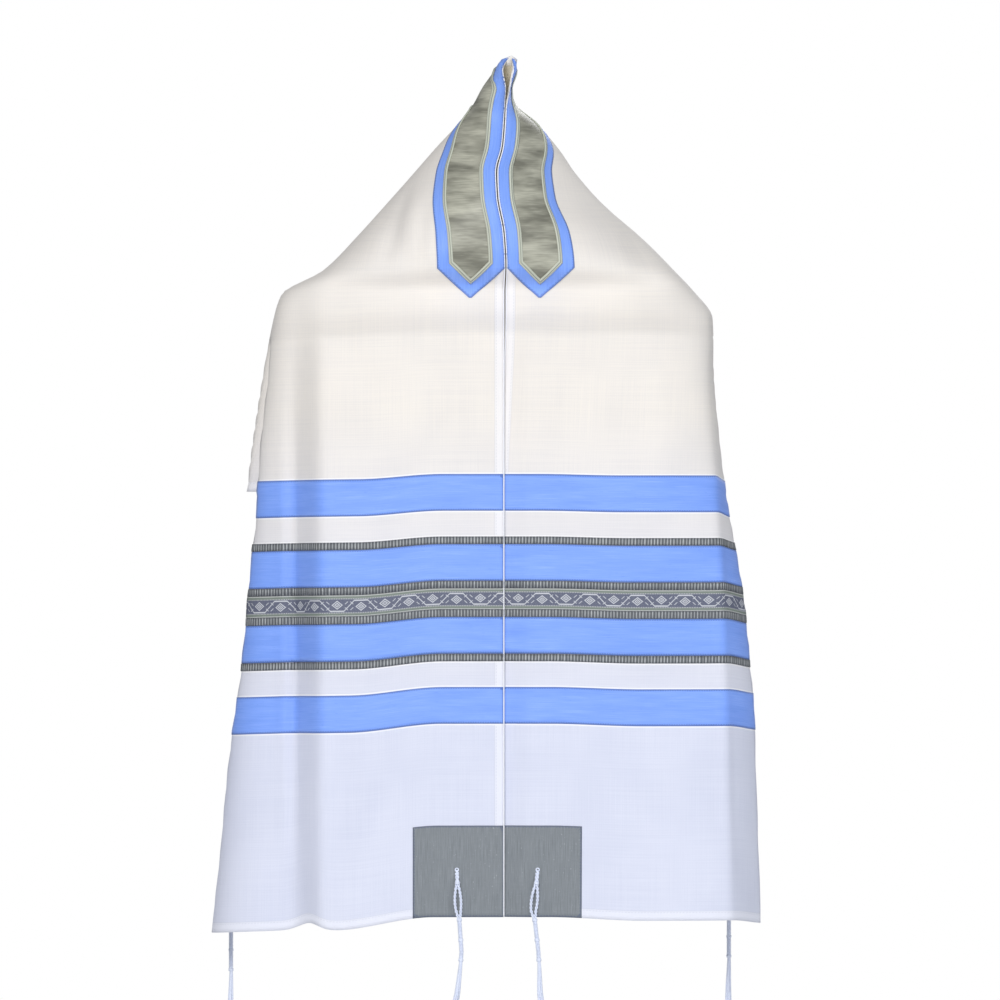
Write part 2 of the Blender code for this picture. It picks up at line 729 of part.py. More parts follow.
def main():
    for old in list(bpy.data.objects):
        bpy.data.objects.remove(old)
    collection = bpy.data.collections.new("tallit")
    bpy.context.scene.collection.children.link(collection)
    white = make_material("white_wool", WHITE_WOOL, 0.9)
    blue = make_material("blue_silk", BLUE_SILK, 0.5)
    grey = make_material("patch_silk", GREY_SILK, 0.6)
    panel = make_material("panel_silk", PANEL_SILK, 0.4)
    trim = make_material("ribbed_trim", TRIM_BRAID, 0.7)
    ribbon = make_material("woven_ribbon", RIBBON_CLOTH, 0.6)
    string = make_material("string_wool", STRING_WOOL, 0.9)

    half = long_lines()
    alongs = [-line for line in reversed(half[1:])] + half
    acrosses = [line * MM for line in SHARED_LINES]
    cloth = FoldedCloth(alongs, acrosses)
    mesh = piece_mesh("shawl_cloth", cloth, alongs, acrosses, 0.0)
    thicken(add_object("shawl_cloth", mesh, white, collection), CLOTH_WALL)
    add_neckband(cloth, collection, blue, panel)
    add_strips(cloth, collection, {"band": blue, "trim": trim, "ribbon": ribbon})
    add_patches(cloth, collection, grey)
    add_fringes(cloth, collection, string)


main()
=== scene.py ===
# %% [markdown]
# # A tallit, the Jewish prayer shawl
# The shawl is one rectangle of white wool with silk bands sewn across both ends, a silk
# neckband, and a patch with a knotted fringe at each corner. It hangs filled out, as if worn,
# from the middle of its neckband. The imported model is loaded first: it holds plain solids of
# the true size, and each piece made below takes the place of one of them.

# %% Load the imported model
from collections import namedtuple
from math import pi, radians, sin

import bmesh
import bpy
import numpy as np
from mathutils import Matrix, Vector


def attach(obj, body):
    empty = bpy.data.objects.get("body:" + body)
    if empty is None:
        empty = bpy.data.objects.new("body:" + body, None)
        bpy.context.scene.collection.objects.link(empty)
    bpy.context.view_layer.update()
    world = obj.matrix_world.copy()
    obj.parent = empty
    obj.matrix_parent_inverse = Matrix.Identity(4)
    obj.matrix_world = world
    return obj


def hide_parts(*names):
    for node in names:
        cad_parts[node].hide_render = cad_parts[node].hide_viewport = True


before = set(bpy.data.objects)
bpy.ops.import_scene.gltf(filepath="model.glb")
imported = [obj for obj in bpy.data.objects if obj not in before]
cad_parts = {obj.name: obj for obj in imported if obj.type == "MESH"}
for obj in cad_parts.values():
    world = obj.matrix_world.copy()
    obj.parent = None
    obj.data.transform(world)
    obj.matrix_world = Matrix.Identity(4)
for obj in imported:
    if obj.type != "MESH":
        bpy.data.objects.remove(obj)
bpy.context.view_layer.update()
MM = 0.001

# %% [markdown]
# ## Camera
# The camera comes first. The shawl was photographed
# level and from straight in front, with the back of the shawl no smaller than its front, so the
# camera stands far off behind a very long lens. The photograph's pixels then measure 1.056 mm
# each at the front of the shawl.

# %% Place the camera
PIXEL = 1.056 * MM
FRAME_PIXELS = 1000
SENSOR = 36.0
FRONT_PLANE = -0.095
CAMERA_DISTANCE = 9.0
PEAK_PIXEL = (512, 51)
camera_data = bpy.data.cameras.new("camera")
camera_data.sensor_width = SENSOR
camera_data.lens = SENSOR * CAMERA_DISTANCE / (PIXEL * FRAME_PIXELS)
camera = bpy.data.objects.new("camera", camera_data)
bpy.context.scene.collection.objects.link(camera)
camera.location = (
    (FRAME_PIXELS / 2 - PEAK_PIXEL[0]) * PIXEL,
    FRONT_PLANE - CAMERA_DISTANCE,
    -(FRAME_PIXELS / 2 - PEAK_PIXEL[1]) * PIXEL,
)
camera.rotation_euler = (radians(90), 0, 0)
bpy.context.scene.camera = camera
print("lens", round(camera_data.lens, 1), "mm")

# %% [markdown]
# ## The cut and the folds
# Every point of the cloth is known by its place on the flat cut: `along`, the distance from
# the middle of the long upper edge, and `across`, the distance from that edge. At any drop
# below the peak the cloth runs round the shawl as one level loop. The front panels cross it at
# along = drop and the back at across = drop. The loop's girth is known from the cut, so what
# the depth can't take up goes into a tuck at each side. The same rules shaped the packed
# solid, so the fine cloth lies on it.

# %% Sizes of the cut
HALF_LENGTH = 914.4 * MM
WIDTH = 457.2 * MM
SEAM_GAP = 0.3 * MM
BANDS_START = 446.5 * MM
BLUE = 39 * MM
WHITE = 27 * MM
TRIM = 8 * MM
RIBBON = 22 * MM
PATCH = 96.5 * MM
EYELET_INSET = 50 * MM
NECKBAND_WIDTH = 72 * MM
NECKBAND_CORNER = 228 * MM
NECKBAND_TIP = 260 * MM
PANEL_NEAR_EDGE = 13 * MM
PANEL_FAR_EDGE = 59 * MM
PANEL_CORNER = 223 * MM
PANEL_TIP = 244 * MM
TIP_WIDTH = 0.04
FRINGE_LENGTH = 260 * MM

# %% The table of level sections
# The neckband leans to one side, and the front edges part a little below the peak
PEAK_LEAN = 7.4 * MM
OPENING_DROPS = [0, 13, 36, 56]
OPENING_GAPS = [2, 11, 4, 1.6]
# The right front edge passes under the left one, set back by this from a drop on
UNDERLAP_SETBACK = 5 * MM
UNDERLAP_REACH = 30 * MM
SETBACK_FROM = 262 * MM
SETBACK_OVER = 20 * MM
# The tucks at the sides, and how the table's own points line up with them
TUCK_HALF_MOUTH = 40 * MM
TUCK_SHIFT = 0.45
FULL_TUCK = 12 * MM
ALIGN_FROM = 130 * MM
ALIGN_BY = 230 * MM
HEM_TURN = 1.2
TAIL_POINTS = 60
TUCK_ROUNDNESS = 1.6
# Flutes of the back, and how far the outer parts hang below the middle
FLUTE_DEPTH = 22 * MM
FLUTES = 4
DROOP_FROM = 0.2
DROOP_OVER = 0.35
EARLY_DROOP = 0.65
RIGHT_DROOP_SHARE = 0.2
# How a loop is sampled: the range searched for the slit, and how the angle's steps vary
FRONT_ARC = 1.3
LOOP_POINTS = 640
CROWDING = 0.95
# The sharp fold of the left front, from the slit, and the corner fold of the right one
FOLD_RIDGE = 190 * MM
FOLD_VALLEY = 226 * MM
CORNER_DROPS = [300, 457, 522, 637, 722, 915]
CORNER_WIDTHS = [6, 14, 26, 34, 42, 49]
CORNER_SLOPE = 0.8
CORNER_DROOP = 6 * MM
CORNER_DROOP_FROM = 0.3
CORNER_DROOP_OVER = 0.15
VALLEY_LIFT = 8 * MM
VALLEY_LIFT_WIDTH = 15 * MM
VALLEY_LIFT_FROM = 0.7
VALLEY_LIFT_OVER = 0.2
# Squareness of a plain ellipse, then shares of a loop's depth and half width
ELLIPSE = 2.0
WIDEST_EDGE = 0.7
BEHIND_DEPTH = 0.25
FRONT_DEPTH = 0.2
OUTER_FROM = 0.5
OUTERMOST_FROM = 0.78
OUTERMOST_OVER = 0.18
# Where flutes and underlap begin, then the limits of the search for the right girth
FLUTES_FROM = 0.18
UNDERLAP_ANGLE = 1.75 * pi
LEAST_DROP = 0.5 * MM
DEEPEST_TUCK = 0.2
WIDEST_FRONT = 0.9
HALVINGS = 40

# The rows are in millimetres, but for the two squareness columns
Section = namedtuple(
    "Section",
    "drop left right slit underlap squareness_left squareness_right depth fold back_reach droop",
)
SECTIONS = [
    Section(0, -4, 13, 6, 0, 2.0, 2.0, 200, 0, 0, 0),
    Section(13, -8, 12, 3.4, 0, 2.0, 2.0, 200, 0, 0, 0),
    Section(36, -23, 5, 1.9, 0, 2.0, 2.0, 200, 0, 0, 0),
    Section(56, -34, 12, 0, 0, 2.0, 2.0, 200, 0, 0, 0),
    Section(77, -53, 37, -1, 0, 1.9, 1.7, 200, 0, 0, 0),
    Section(100, -75, 57, -3, 0, 1.7, 1.4, 200, 0, 0, 0),
    Section(127, -99, 76, -9, 0, 1.6, 1.25, 200, 0, 0, 0),
    Section(153, -122, 98, -8, 0, 1.7, 1.25, 210, 0, 0, 0),
    Section(192, -157, 142, -1, 0, 2.1, 1.65, 210, 0, 0, 1),
    Section(228, -194, 178, 1, 0, 2.6, 2.4, 200, 0, 0, 2),
    Section(252, -238, 201, 0, 0, 3.2, 3.2, 190, 4, 0, 3),
    Section(280, -247, 221, 0, 0, 4.0, 3.8, 186, 10, 2, 4),
    Section(357, -257, 225, 0, 3, 4.6, 4.4, 184, 22, 7, 6),
    Section(457, -268, 237, 0, 8, 4.8, 4.8, 184, 28, 12, 8),
    Section(522, -275, 250, 0, 10, 4.8, 5.0, 184, 30, 12, 9),
    Section(637, -286, 267, 0, 13, 4.8, 5.0, 186, 30, 10, 12),
    Section(722, -296, 276, 0, 15, 4.8, 4.8, 190, 28, 9, 14),
    Section(915, -316, 286, 0, 16, 4.8, 4.6, 200, 26, 8, 20),
]


# %% Read the table between its rows
def smooth_step(value):
    """0 below 0, 1 above 1, and an even S between."""
    t = np.clip(value, 0.0, 1.0)
    return t * t * (3.0 - 2.0 * t)


def smooth_rows(xs, ys, x):
    """A curve through the rows of a table with no overshoot between them."""
    xs, ys = np.asarray(xs, float), np.asarray(ys, float)
    steps = np.diff(xs)
    slopes = np.diff(ys) / steps
    tangents = np.zeros_like(ys)
    tangents[0], tangents[-1] = slopes[0], slopes[-1]
    same_way = slopes[:-1] * slopes[1:] > 0
    harmonic = 2 * slopes[:-1] * slopes[1:] / np.where(same_way, slopes[:-1] + slopes[1:], 1.0)
    tangents[1:-1] = np.where(same_way, harmonic, 0.0)
    k = int(np.clip(np.searchsorted(xs, x) - 1, 0, len(steps) - 1))
    t = (x - xs[k]) / steps[k]
    h = steps[k]
    return float(
        ys[k] * (1 + 2 * t) * (1 - t) ** 2
        + tangents[k] * h * t * (1 - t) ** 2
        + ys[k + 1] * t * t * (3 - 2 * t)
        + tangents[k + 1] * h * t * t * (t - 1)
    )


def section_at(drop):
    """The table's values at any drop, in metres but for the two squareness columns."""
    drops = [row.drop for row in SECTIONS]
    values = {}
    for name in Section._fields[1:]:
        value = smooth_rows(drops, [getattr(row, name) for row in SECTIONS], drop / MM)
        values[name] = value if name.startswith("squareness") else value * MM
    return Section(drop=drop, **values)


# %% Draw the level loop
def signed_power(base, exponent):
    """A power of the size of a number, with the number's own sign."""
    return np.sign(base) * np.abs(base) ** exponent


def tuck_centre(section):
    """How far behind the middle the left tuck lies, because the left fold takes up the front."""
    return section.fold * TUCK_SHIFT


def widening(section, depth):
    """How much wider a loop is at its middle than at the edges of its side tucks."""
    squareness = (section.squareness_left + section.squareness_right) / 2
    edge = min(2 * TUCK_HALF_MOUTH / max(depth, MM), WIDEST_EDGE)
    return (1 - edge ** squareness) ** (-1 / squareness)


def plan_loop(section, depth, tuck):
    """Plan of the cloth at one drop, from the left front edge round the back to the right one."""
    middle = (section.left + section.right) / 2
    half = (section.right - section.left) / 2
    half *= 1 + smooth_step(tuck / FULL_TUCK) * (widening(section, depth) - 1)

    def outline_at(angle):
        sideways, forwards = np.sin(angle), np.cos(angle)
        leftness = smooth_step(0.5 + sideways * 2)
        squareness = section.squareness_right + leftness * (
            section.squareness_left - section.squareness_right
        )
        squareness = np.where(forwards > 0, squareness, np.maximum(squareness, ELLIPSE))
        x = middle - half * signed_power(sideways, 2 / squareness)
        y = -depth / 2 * signed_power(forwards, 2 / squareness)
        return x, y, leftness

    front = FRONT_ARC * np.linspace(1, -1, 2 * LOOP_POINTS + 1) ** 3
    front_x = outline_at(front)[0]
    gap = np.interp(section.drop / MM, OPENING_DROPS, OPENING_GAPS) * MM
    start = np.interp(section.slit - gap / 2, front_x, front)
    end = 2 * pi + np.interp(section.slit + gap / 2 - section.underlap, front_x, front)
    even = np.linspace(start, end, LOOP_POINTS)
    angle = even - CROWDING * (np.sin(4 * even) - np.sin(4 * start)) / 4
    angle = start + (angle - start) * (end - start) / (angle[-1] - start)
    x, y, leftness = outline_at(angle)

    behind = smooth_step(y / (BEHIND_DEPTH * depth + MM))
    outer = smooth_step((np.abs(x - middle) / half - OUTER_FROM) / (1 - OUTER_FROM))
    outermost = smooth_step((np.abs(x - middle) / half - OUTERMOST_FROM) / OUTERMOST_OVER)
    x = x - section.back_reach * behind * outer * leftness

    in_front = smooth_step(-y / (FRONT_DEPTH * depth + MM) + FRONT_DEPTH)
    step_back = smooth_step((section.slit - x - FOLD_RIDGE) / (FOLD_VALLEY - FOLD_RIDGE))
    y = y + section.fold * step_back * in_front * leftness

    corner_width = np.interp(section.drop / MM, CORNER_DROPS, CORNER_WIDTHS) * MM
    past_corner = np.clip((x - section.right + corner_width) / corner_width, 0, 1)
    y = y + CORNER_SLOPE * corner_width * past_corner * in_front * (1 - leftness)

    flute_growth = smooth_step((section.drop - FLUTES_FROM) / (WIDTH - FLUTES_FROM))
    flutes = np.cos((x - middle) / half * pi * FLUTES) * (1 - outer)
    y = y - FLUTE_DEPTH * flute_growth * behind * flutes

    off_centre = (y - tuck_centre(section) * leftness) / TUCK_HALF_MOUTH
    mouth = np.clip(1 - off_centre ** 2, 0, 1) ** TUCK_ROUNDNESS
    x = x - tuck * mouth * outermost * np.sign(x - middle)

    setback = smooth_step((section.drop - SETBACK_FROM) / SETBACK_OVER) * UNDERLAP_SETBACK
    near_slit = smooth_step(1 - (x - section.slit) / UNDERLAP_REACH)
    y = y + np.where(angle > UNDERLAP_ANGLE, setback * near_slit, 0.0)
    return np.column_stack([x - PEAK_LEAN, y])


# %% Measure the loop and fit it to the girth
def arc_lengths(points):
    """Length along a line of points to each of them."""
    steps = np.linalg.norm(np.diff(points, axis=0), axis=1)
    return np.concatenate([[0.0], np.cumsum(steps)])


def girth_of(section, depth, tuck):
    """Length round the loop of one drop."""
    return arc_lengths(plan_loop(section, depth, tuck))[-1]


def solve(girth_for, low, high, girth):
    """The value between low and high that gives the girth, by halving."""
    for _ in range(HALVINGS):
        middle = (low + high) / 2
        low, high = (middle, high) if girth_for(middle) < girth else (low, middle)
    return (low + high) / 2


def halves_of(loop):
    """The loop from each front edge to the middle of the back."""
    measured = arc_lengths(loop)
    middle = int(np.searchsorted(measured, measured[-1] / 2))
    centre = [np.interp(measured[-1] / 2, measured, loop[:, k]) for k in range(2)]
    left = np.vstack([loop[:middle], centre])
    right = np.vstack([loop[: middle - 1 : -1], centre])
    return left, right


def length_to(line, level):
    """Length along a half to where it first passes a level, counted towards the back."""
    measured = arc_lengths(line)
    after = max(1, int(np.argmax(line[:, 1] > level)))
    before = after - 1
    share = (level - line[before, 1]) / (line[after, 1] - line[before, 1] + 1e-12)
    return measured[before] + float(np.clip(share, 0, 1)) * (measured[after] - measured[before])


def mouth_and_side(line, centre):
    """Length along a half to where its front ends, and to the middle of its tuck."""
    return length_to(line, centre - TUCK_HALF_MOUTH), length_to(line, centre)


def tail_of(line, start, end):
    """A stretch of a half, from its start, as TAIL_POINTS even steps."""
    measured = arc_lengths(line)
    places = np.linspace(start, end, TAIL_POINTS)
    stretch = np.column_stack([np.interp(places, measured, line[:, k]) for k in range(2)])
    return stretch - stretch[0]


def hem_tail(length, inwards):
    """How the outer part of an end turns back at the hem, curling inwards as it goes."""
    turn = np.linspace(0.0, HEM_TURN, TAIL_POINTS)
    step = length / (TAIL_POINTS - 1)
    x = np.concatenate([[0.0], np.cumsum(np.sin(turn[1:]) * step * inwards)])
    y = np.concatenate([[0.0], np.cumsum(np.cos(turn[1:]) * step)])
    return np.column_stack([x, y])


# %% Find any point of one drop
class Half:
    """One half of a plan, from its front edge, which gives points at distances along it."""

    def __init__(self, line, cut, measure, heights):
        self.line, self.cut, self.measure, self.heights = line, cut, measure, heights
        self.measured = arc_lengths(line)

    def at(self, distances):
        """Points at distances from the front edge, measured on the cut."""
        place = np.interp(distances, self.cut, self.measure)
        x, y = (np.interp(place, self.measured, self.line[:, k]) for k in range(2))
        return np.column_stack([x, y, np.interp(place, self.measured, self.heights)])


class Plan:
    """One drop's loop, or the two open ends below the back drape."""

    def __init__(self, drop):
        self.section, self.drop = section_at(max(drop, LEAST_DROP)), drop
        self.middle = (self.section.left + self.section.right) / 2 - PEAK_LEAN
        self.half_width = (self.section.right - self.section.left) / 2
        self.centres = (tuck_centre(self.section), 0.0)
        self.halves = self.closed() if drop <= WIDTH + 1e-9 else self.open()

    def heights(self, line):
        """Level but for the outer parts, which droop, and the lifted valley of the left fold."""
        out = (line[:, 0] - self.middle) / self.half_width
        early = smooth_step((np.abs(out) - DROOP_FROM) / DROOP_OVER)
        late = np.clip(np.abs(out), 0, 1) ** 3
        left_share = EARLY_DROOP * early + (1 - EARLY_DROOP) * late
        share = np.where(out < 0, left_share, RIGHT_DROOP_SHARE * early)
        valley = self.section.slit - PEAK_LEAN - (FOLD_RIDGE + FOLD_VALLEY) / 2
        near_valley = np.exp(-(((line[:, 0] - valley) / VALLEY_LIFT_WIDTH) ** 2))
        near_valley = near_valley * smooth_step(-line[:, 1] / VALLEY_LIFT_WIDTH)
        near_hem = smooth_step((self.drop - VALLEY_LIFT_FROM) / VALLEY_LIFT_OVER)
        corner_width = np.interp(self.drop / MM, CORNER_DROPS, CORNER_WIDTHS) * MM
        past_corner = smooth_step((line[:, 0] + PEAK_LEAN - self.section.right) / corner_width + 1)
        below = smooth_step((self.drop - CORNER_DROOP_FROM) / CORNER_DROOP_OVER)
        droop = self.section.droop * share
        low_corner = CORNER_DROOP * past_corner * below
        return -self.drop - droop - low_corner + VALLEY_LIFT * near_valley * near_hem

    def closed(self):
        """The two halves of the loop, with the girth that the cut has at this drop."""
        section, depth, tuck = self.section, self.section.depth, 0.0
        girth = 4 * section.drop
        if girth_of(section, depth, 0.0) >= girth:
            depth = solve(lambda d: girth_of(section, d, 0.0), 0.0, depth, girth)
        else:
            tuck = solve(lambda t: girth_of(section, depth, t), 0.0, DEEPEST_TUCK, girth)
        aligned = float(smooth_step((self.drop - ALIGN_FROM) / (ALIGN_BY - ALIGN_FROM)))
        halves = []
        for line, centre in zip(halves_of(plan_loop(section, depth, tuck)), self.centres):
            mouth, side = mouth_and_side(line, centre)
            mouth = min(mouth, WIDEST_FRONT * self.drop)
            side = self.drop + aligned * (side - self.drop)
            cut = [0.0, mouth, self.drop, 2 * self.drop]
            measure = [0.0, mouth, side, arc_lengths(line)[-1]]
            halves.append(Half(line, cut, measure, self.heights(line)))
        return halves

    def open(self):
        """The two front panels below the back drape, each with its outer edge turned back."""
        share = float(smooth_step((self.drop - WIDTH) / (HALF_LENGTH - WIDTH)))
        loop = plan_loop(self.section, self.section.depth, 0.0)
        halves = []
        for number, line in enumerate(halves_of(loop)):
            inwards = 1 if number == 0 else -1
            mouth, _ = mouth_and_side(line, self.centres[number])
            measured = arc_lengths(line)
            corner = [np.interp(mouth, measured, line[:, k]) for k in range(2)]
            front = np.vstack([line[measured < mouth - 1e-9], corner])
            upper = WIDEST_CLOSED.halves[number]
            first_wall = tail_of(
                upper.line, *mouth_and_side(upper.line, WIDEST_CLOSED.centres[number])
            )
            tail = (1 - share) * first_wall + share * hem_tail(WIDTH - mouth, inwards)
            line = np.vstack([front, front[-1] + tail[1:]])
            measure = [0.0, arc_lengths(front)[-1], arc_lengths(line)[-1]]
            halves.append(Half(line, [0.0, measure[1], WIDTH], measure, self.heights(line)))
        return halves


WIDEST_CLOSED = Plan(WIDTH)

# %% [markdown]
# ## The folded sheet as a table
# The loops are worked out once, for every 5 mm of drop, and kept as a table of points and
# outward directions over the flat cut. The step divides the width evenly, and the length is
# twice the half width, so the 45 degree fold runs through the table's own points.

# %% Fold the sheet
ACROSS_CELLS = 92
STEP = WIDTH / ACROSS_CELLS
ALONG_CELLS = 4 * ACROSS_CELLS


def fold_sheet():
    """Points of the folded sheet, by row along the cut and column across it."""
    along_number = np.arange(-ALONG_CELLS // 2, ALONG_CELLS // 2 + 1)[:, None]
    across_number = np.arange(ACROSS_CELLS + 1)[None, :]
    drop_number = np.maximum(np.abs(along_number), across_number)
    in_front = np.abs(along_number) >= across_number
    distance = np.where(in_front, across_number, 2 * drop_number - np.abs(along_number)) * STEP
    on_right = np.broadcast_to(along_number > 0, drop_number.shape)
    points = np.zeros((*drop_number.shape, 3))
    for number in range(1, ALONG_CELLS // 2 + 1):
        plan = Plan(number * STEP)
        for half, side in zip(plan.halves, (~on_right, on_right)):
            here = (drop_number == number) & side
            points[here] = half.at(distance[here])
    return points


def outward_directions(points):
    """Unit normals of the table's points, away from the hollow."""
    normals = np.cross(np.gradient(points, axis=0), np.gradient(points, axis=1))
    return normals / np.maximum(np.linalg.norm(normals, axis=2, keepdims=True), 1e-12)


sheet_points = fold_sheet()
sheet_normals = outward_directions(sheet_points)
print("sheet from", sheet_points.min((0, 1)).round(3), "to", sheet_points.max((0, 1)).round(3))

# %% [markdown]
# ## Creases placed one by one
# The big folds are in the table. Soft creases come on top of it: each is a trough or a ridge
# along a line of the front or the back, with its own length, width, depth and bow, and it
# fades out at both ends. Slow ripples keep the cloth between them from lying dead flat, and
# the free hem waves a little. Near the front edges all this dies away, because one panel
# overlaps the other there.

# %% Place the creases
Crease = namedtuple("Crease", "side start end width height bow")
CREASES = [
    Crease("front", (-0.150, -0.120), (-0.085, -0.250), 0.016, -3.2, 0.010),
    Crease("front", (-0.104, -0.125), (-0.138, -0.245), 0.008, -3.0, 0.004),
    Crease("front", (-0.088, -0.150), (-0.098, -0.235), 0.007, -1.8, 0.003),
    Crease("front", (-0.190, -0.225), (-0.120, -0.400), 0.020, -2.4, 0.015),
    Crease("front", (-0.060, -0.270), (-0.072, -0.460), 0.022, -1.4, 0.006),
    Crease("front", (-0.232, -0.300), (-0.228, -0.930), 0.005, -2.4, 0.001),
    Crease("front", (-0.243, -0.320), (-0.239, -0.900), 0.007, 1.9, 0.001),
    Crease("front", (-0.170, -0.700), (-0.178, -0.915), 0.018, -1.6, 0.004),
    Crease("front", (-0.095, -0.640), (-0.100, -0.905), 0.026, 1.6, -0.004),
    Crease("front", (0.105, -0.110), (0.150, -0.300), 0.016, -2.4, -0.008),
    Crease("front", (0.060, -0.240), (0.085, -0.440), 0.020, -1.6, 0.008),
    Crease("front", (0.150, -0.260), (0.175, -0.560), 0.018, 1.8, 0.006),
    Crease("front", (0.120, -0.560), (0.128, -0.900), 0.024, -1.5, 0.004),
    Crease("front", (0.216, -0.400), (0.232, -0.930), 0.005, 1.7, 0.002),
    Crease("back", (-0.150, -0.150), (-0.060, -0.330), 0.018, -3.0, 0.012),
    Crease("back", (0.120, -0.140), (0.070, -0.330), 0.020, -2.6, -0.010),
    Crease("back", (-0.030, -0.080), (-0.020, -0.260), 0.016, 2.0, 0.004),
    Crease("back", (0.170, -0.240), (0.150, -0.440), 0.020, -2.2, 0.008),
    Crease("back", (-0.190, -0.250), (-0.170, -0.450), 0.018, -2.4, -0.006),
    Crease("back", (0.010, -0.300), (0.030, -0.450), 0.024, -2.0, 0.006),
]
# Wavelengths along and across the cut in metres, phase, and size in millimetres
RIPPLES = [
    (0.72, 0.21, 0.4, 0.50),
    (0.16, 0.61, 1.9, 0.42),
    (0.34, -0.27, 3.1, 0.36),
    (0.11, 0.13, 5.0, 0.22),
]
HEM_WAVE = 1.6 * MM
HEM_WAVE_FROM = 0.80
HEM_WAVE_OVER = 0.11
HEM_WAVE_LENGTH = 0.118
FADE_IN = 0.3
FADE_OUT = 0.35
STILL_AT_SLIT = 0.012
STILL_AT_SLIT_OVER = 0.05
STILL_AT_PEAK = 0.05
STILL_AT_PEAK_OVER = 0.1


def crease_height(places, normals):
    """How far the creases move each place out, in metres."""
    height = np.zeros(len(places))
    for crease in CREASES:
        line = np.subtract(crease.end, crease.start)
        length = np.hypot(*line)
        offset = places[:, [0, 2]] - crease.start
        share = offset @ line / length ** 2
        aside = (offset[:, 0] * line[1] - offset[:, 1] * line[0]) / length
        aside = aside - crease.bow * 4 * share * (1 - share)
        fade = smooth_step(share / FADE_IN) * smooth_step((1 - share) / FADE_OUT)
        facing = smooth_step(normals[:, 1] * (2 if crease.side == "back" else -2))
        height += crease.height * MM * np.exp(-((aside / crease.width) ** 2)) * fade * facing
    return height


def ripple_height(along, across):
    """How far the ripples and the wave of the hem move each place out, in metres."""
    height = np.zeros_like(along)
    for along_length, across_length, phase, size in RIPPLES:
        turns = along / along_length + across / across_length
        height += size * MM * np.sin(2 * pi * turns + phase)
    near_hem = smooth_step((np.abs(along) - HEM_WAVE_FROM) / HEM_WAVE_OVER)
    height += HEM_WAVE * near_hem * np.sin(2 * pi * across / HEM_WAVE_LENGTH + np.sign(along))
    return height


def table_between(table, along, across):
    """Values of a table over the cut at any places, evenly between its points."""
    row = np.clip(along / STEP + ALONG_CELLS / 2, 0, ALONG_CELLS - 1e-6)
    column = np.clip(across / STEP, 0, ACROSS_CELLS - 1e-6)
    i, j = row.astype(int), column.astype(int)
    s, t = (row - i)[:, None], (column - j)[:, None]
    near = (1 - s) * table[i, j] + s * table[i + 1, j]
    far = (1 - s) * table[i, j + 1] + s * table[i + 1, j + 1]
    return (1 - t) * near + t * far


def drape(along, across, lift=0.0):
    """Where places of the flat cut come to lie, moved out of the cloth by the lift."""
    along, across = np.asarray(along, float).ravel(), np.asarray(across, float).ravel()
    places = table_between(sheet_points, along, across)
    normals = table_between(sheet_normals, along, across)
    normals /= np.maximum(np.linalg.norm(normals, axis=1, keepdims=True), 1e-9)
    clear_of_slit = smooth_step((across - STILL_AT_SLIT) / STILL_AT_SLIT_OVER)
    drop = np.maximum(np.abs(along), across)
    clear_of_peak = smooth_step((drop - STILL_AT_PEAK) / STILL_AT_PEAK_OVER)
    height = crease_height(places, normals) + ripple_height(along, across)
    height = height * clear_of_slit * clear_of_peak + lift
    return places + normals * height[:, None]


# %% [markdown]
# ## Laying a piece on the cut
# A piece of cloth starts as a flat grid primitive of the right number of squares. Its columns
# and rows are moved to the lines that the piece needs, which gives it a UV map in metres of the
# cut, and then every point is draped. Solidify gives the sheet its wall, and a rim round its
# edges. The squares that lie on the 45 degree fold are split along it, so that no square has
# to bend the wrong way across the fold.


# %% A helper that cuts, drapes and thickens one piece
def select_only(thing):
    """Makes one object the only selected one and the active one."""
    bpy.ops.object.select_all(action="DESELECT")
    thing.select_set(True)
    bpy.context.view_layer.objects.active = thing


def apply_modifiers(thing):
    """Turns an object's modifiers into its own mesh."""
    select_only(thing)
    for modifier in list(thing.modifiers):
        bpy.ops.object.modifier_apply(modifier=modifier.name)


def flat_grid(name, columns, rows):
    """A flat grid of one metre, with its vertices' column and row numbers."""
    bpy.ops.object.select_all(action="DESELECT")
    bpy.ops.mesh.primitive_grid_add(
        x_subdivisions=columns, y_subdivisions=rows, size=1.0, location=(0, 0, 0)
    )
    thing = bpy.context.object
    thing.name = thing.data.name = name
    flat = np.zeros(len(thing.data.vertices) * 3)
    thing.data.vertices.foreach_get("co", flat)
    flat = flat.reshape(-1, 3)
    column = np.rint((flat[:, 0] + 0.5) * columns).astype(int)
    row = np.rint((flat[:, 1] + 0.5) * rows).astype(int)
    return thing, column, row


def split_on_fold(thing, along, across):
    """Splits each square that the 45 degree fold crosses from corner to corner."""
    on_fold = np.isclose(np.abs(along), across, atol=1e-6)
    bm = bmesh.new()
    bm.from_mesh(thing.data)
    bm.verts.ensure_lookup_table()
    for face in list(bm.faces):
        ends = [vertex for vertex in face.verts if on_fold[vertex.index]]
        if len(face.verts) == 4 and len(ends) == 2:
            first, second = ends
            if not any(second in edge.verts for edge in first.link_edges):
                bmesh.utils.face_split(face, first, second)
    bm.to_mesh(thing.data)
    bm.free()


def store_cut(mesh, along, across, edge):
    """Keeps each point's place on the cut as a UV map, and its distance from the edge."""
    corner = np.zeros(len(mesh.loops), dtype=int)
    mesh.loops.foreach_get("vertex_index", corner)
    mesh.uv_layers[0].name = "cut"
    mesh.uv_layers[0].data.foreach_set(
        "uv", np.column_stack([along[corner], across[corner]]).ravel()
    )
    mesh.attributes.new("edge", "FLOAT", "POINT").data.foreach_set("value", edge)


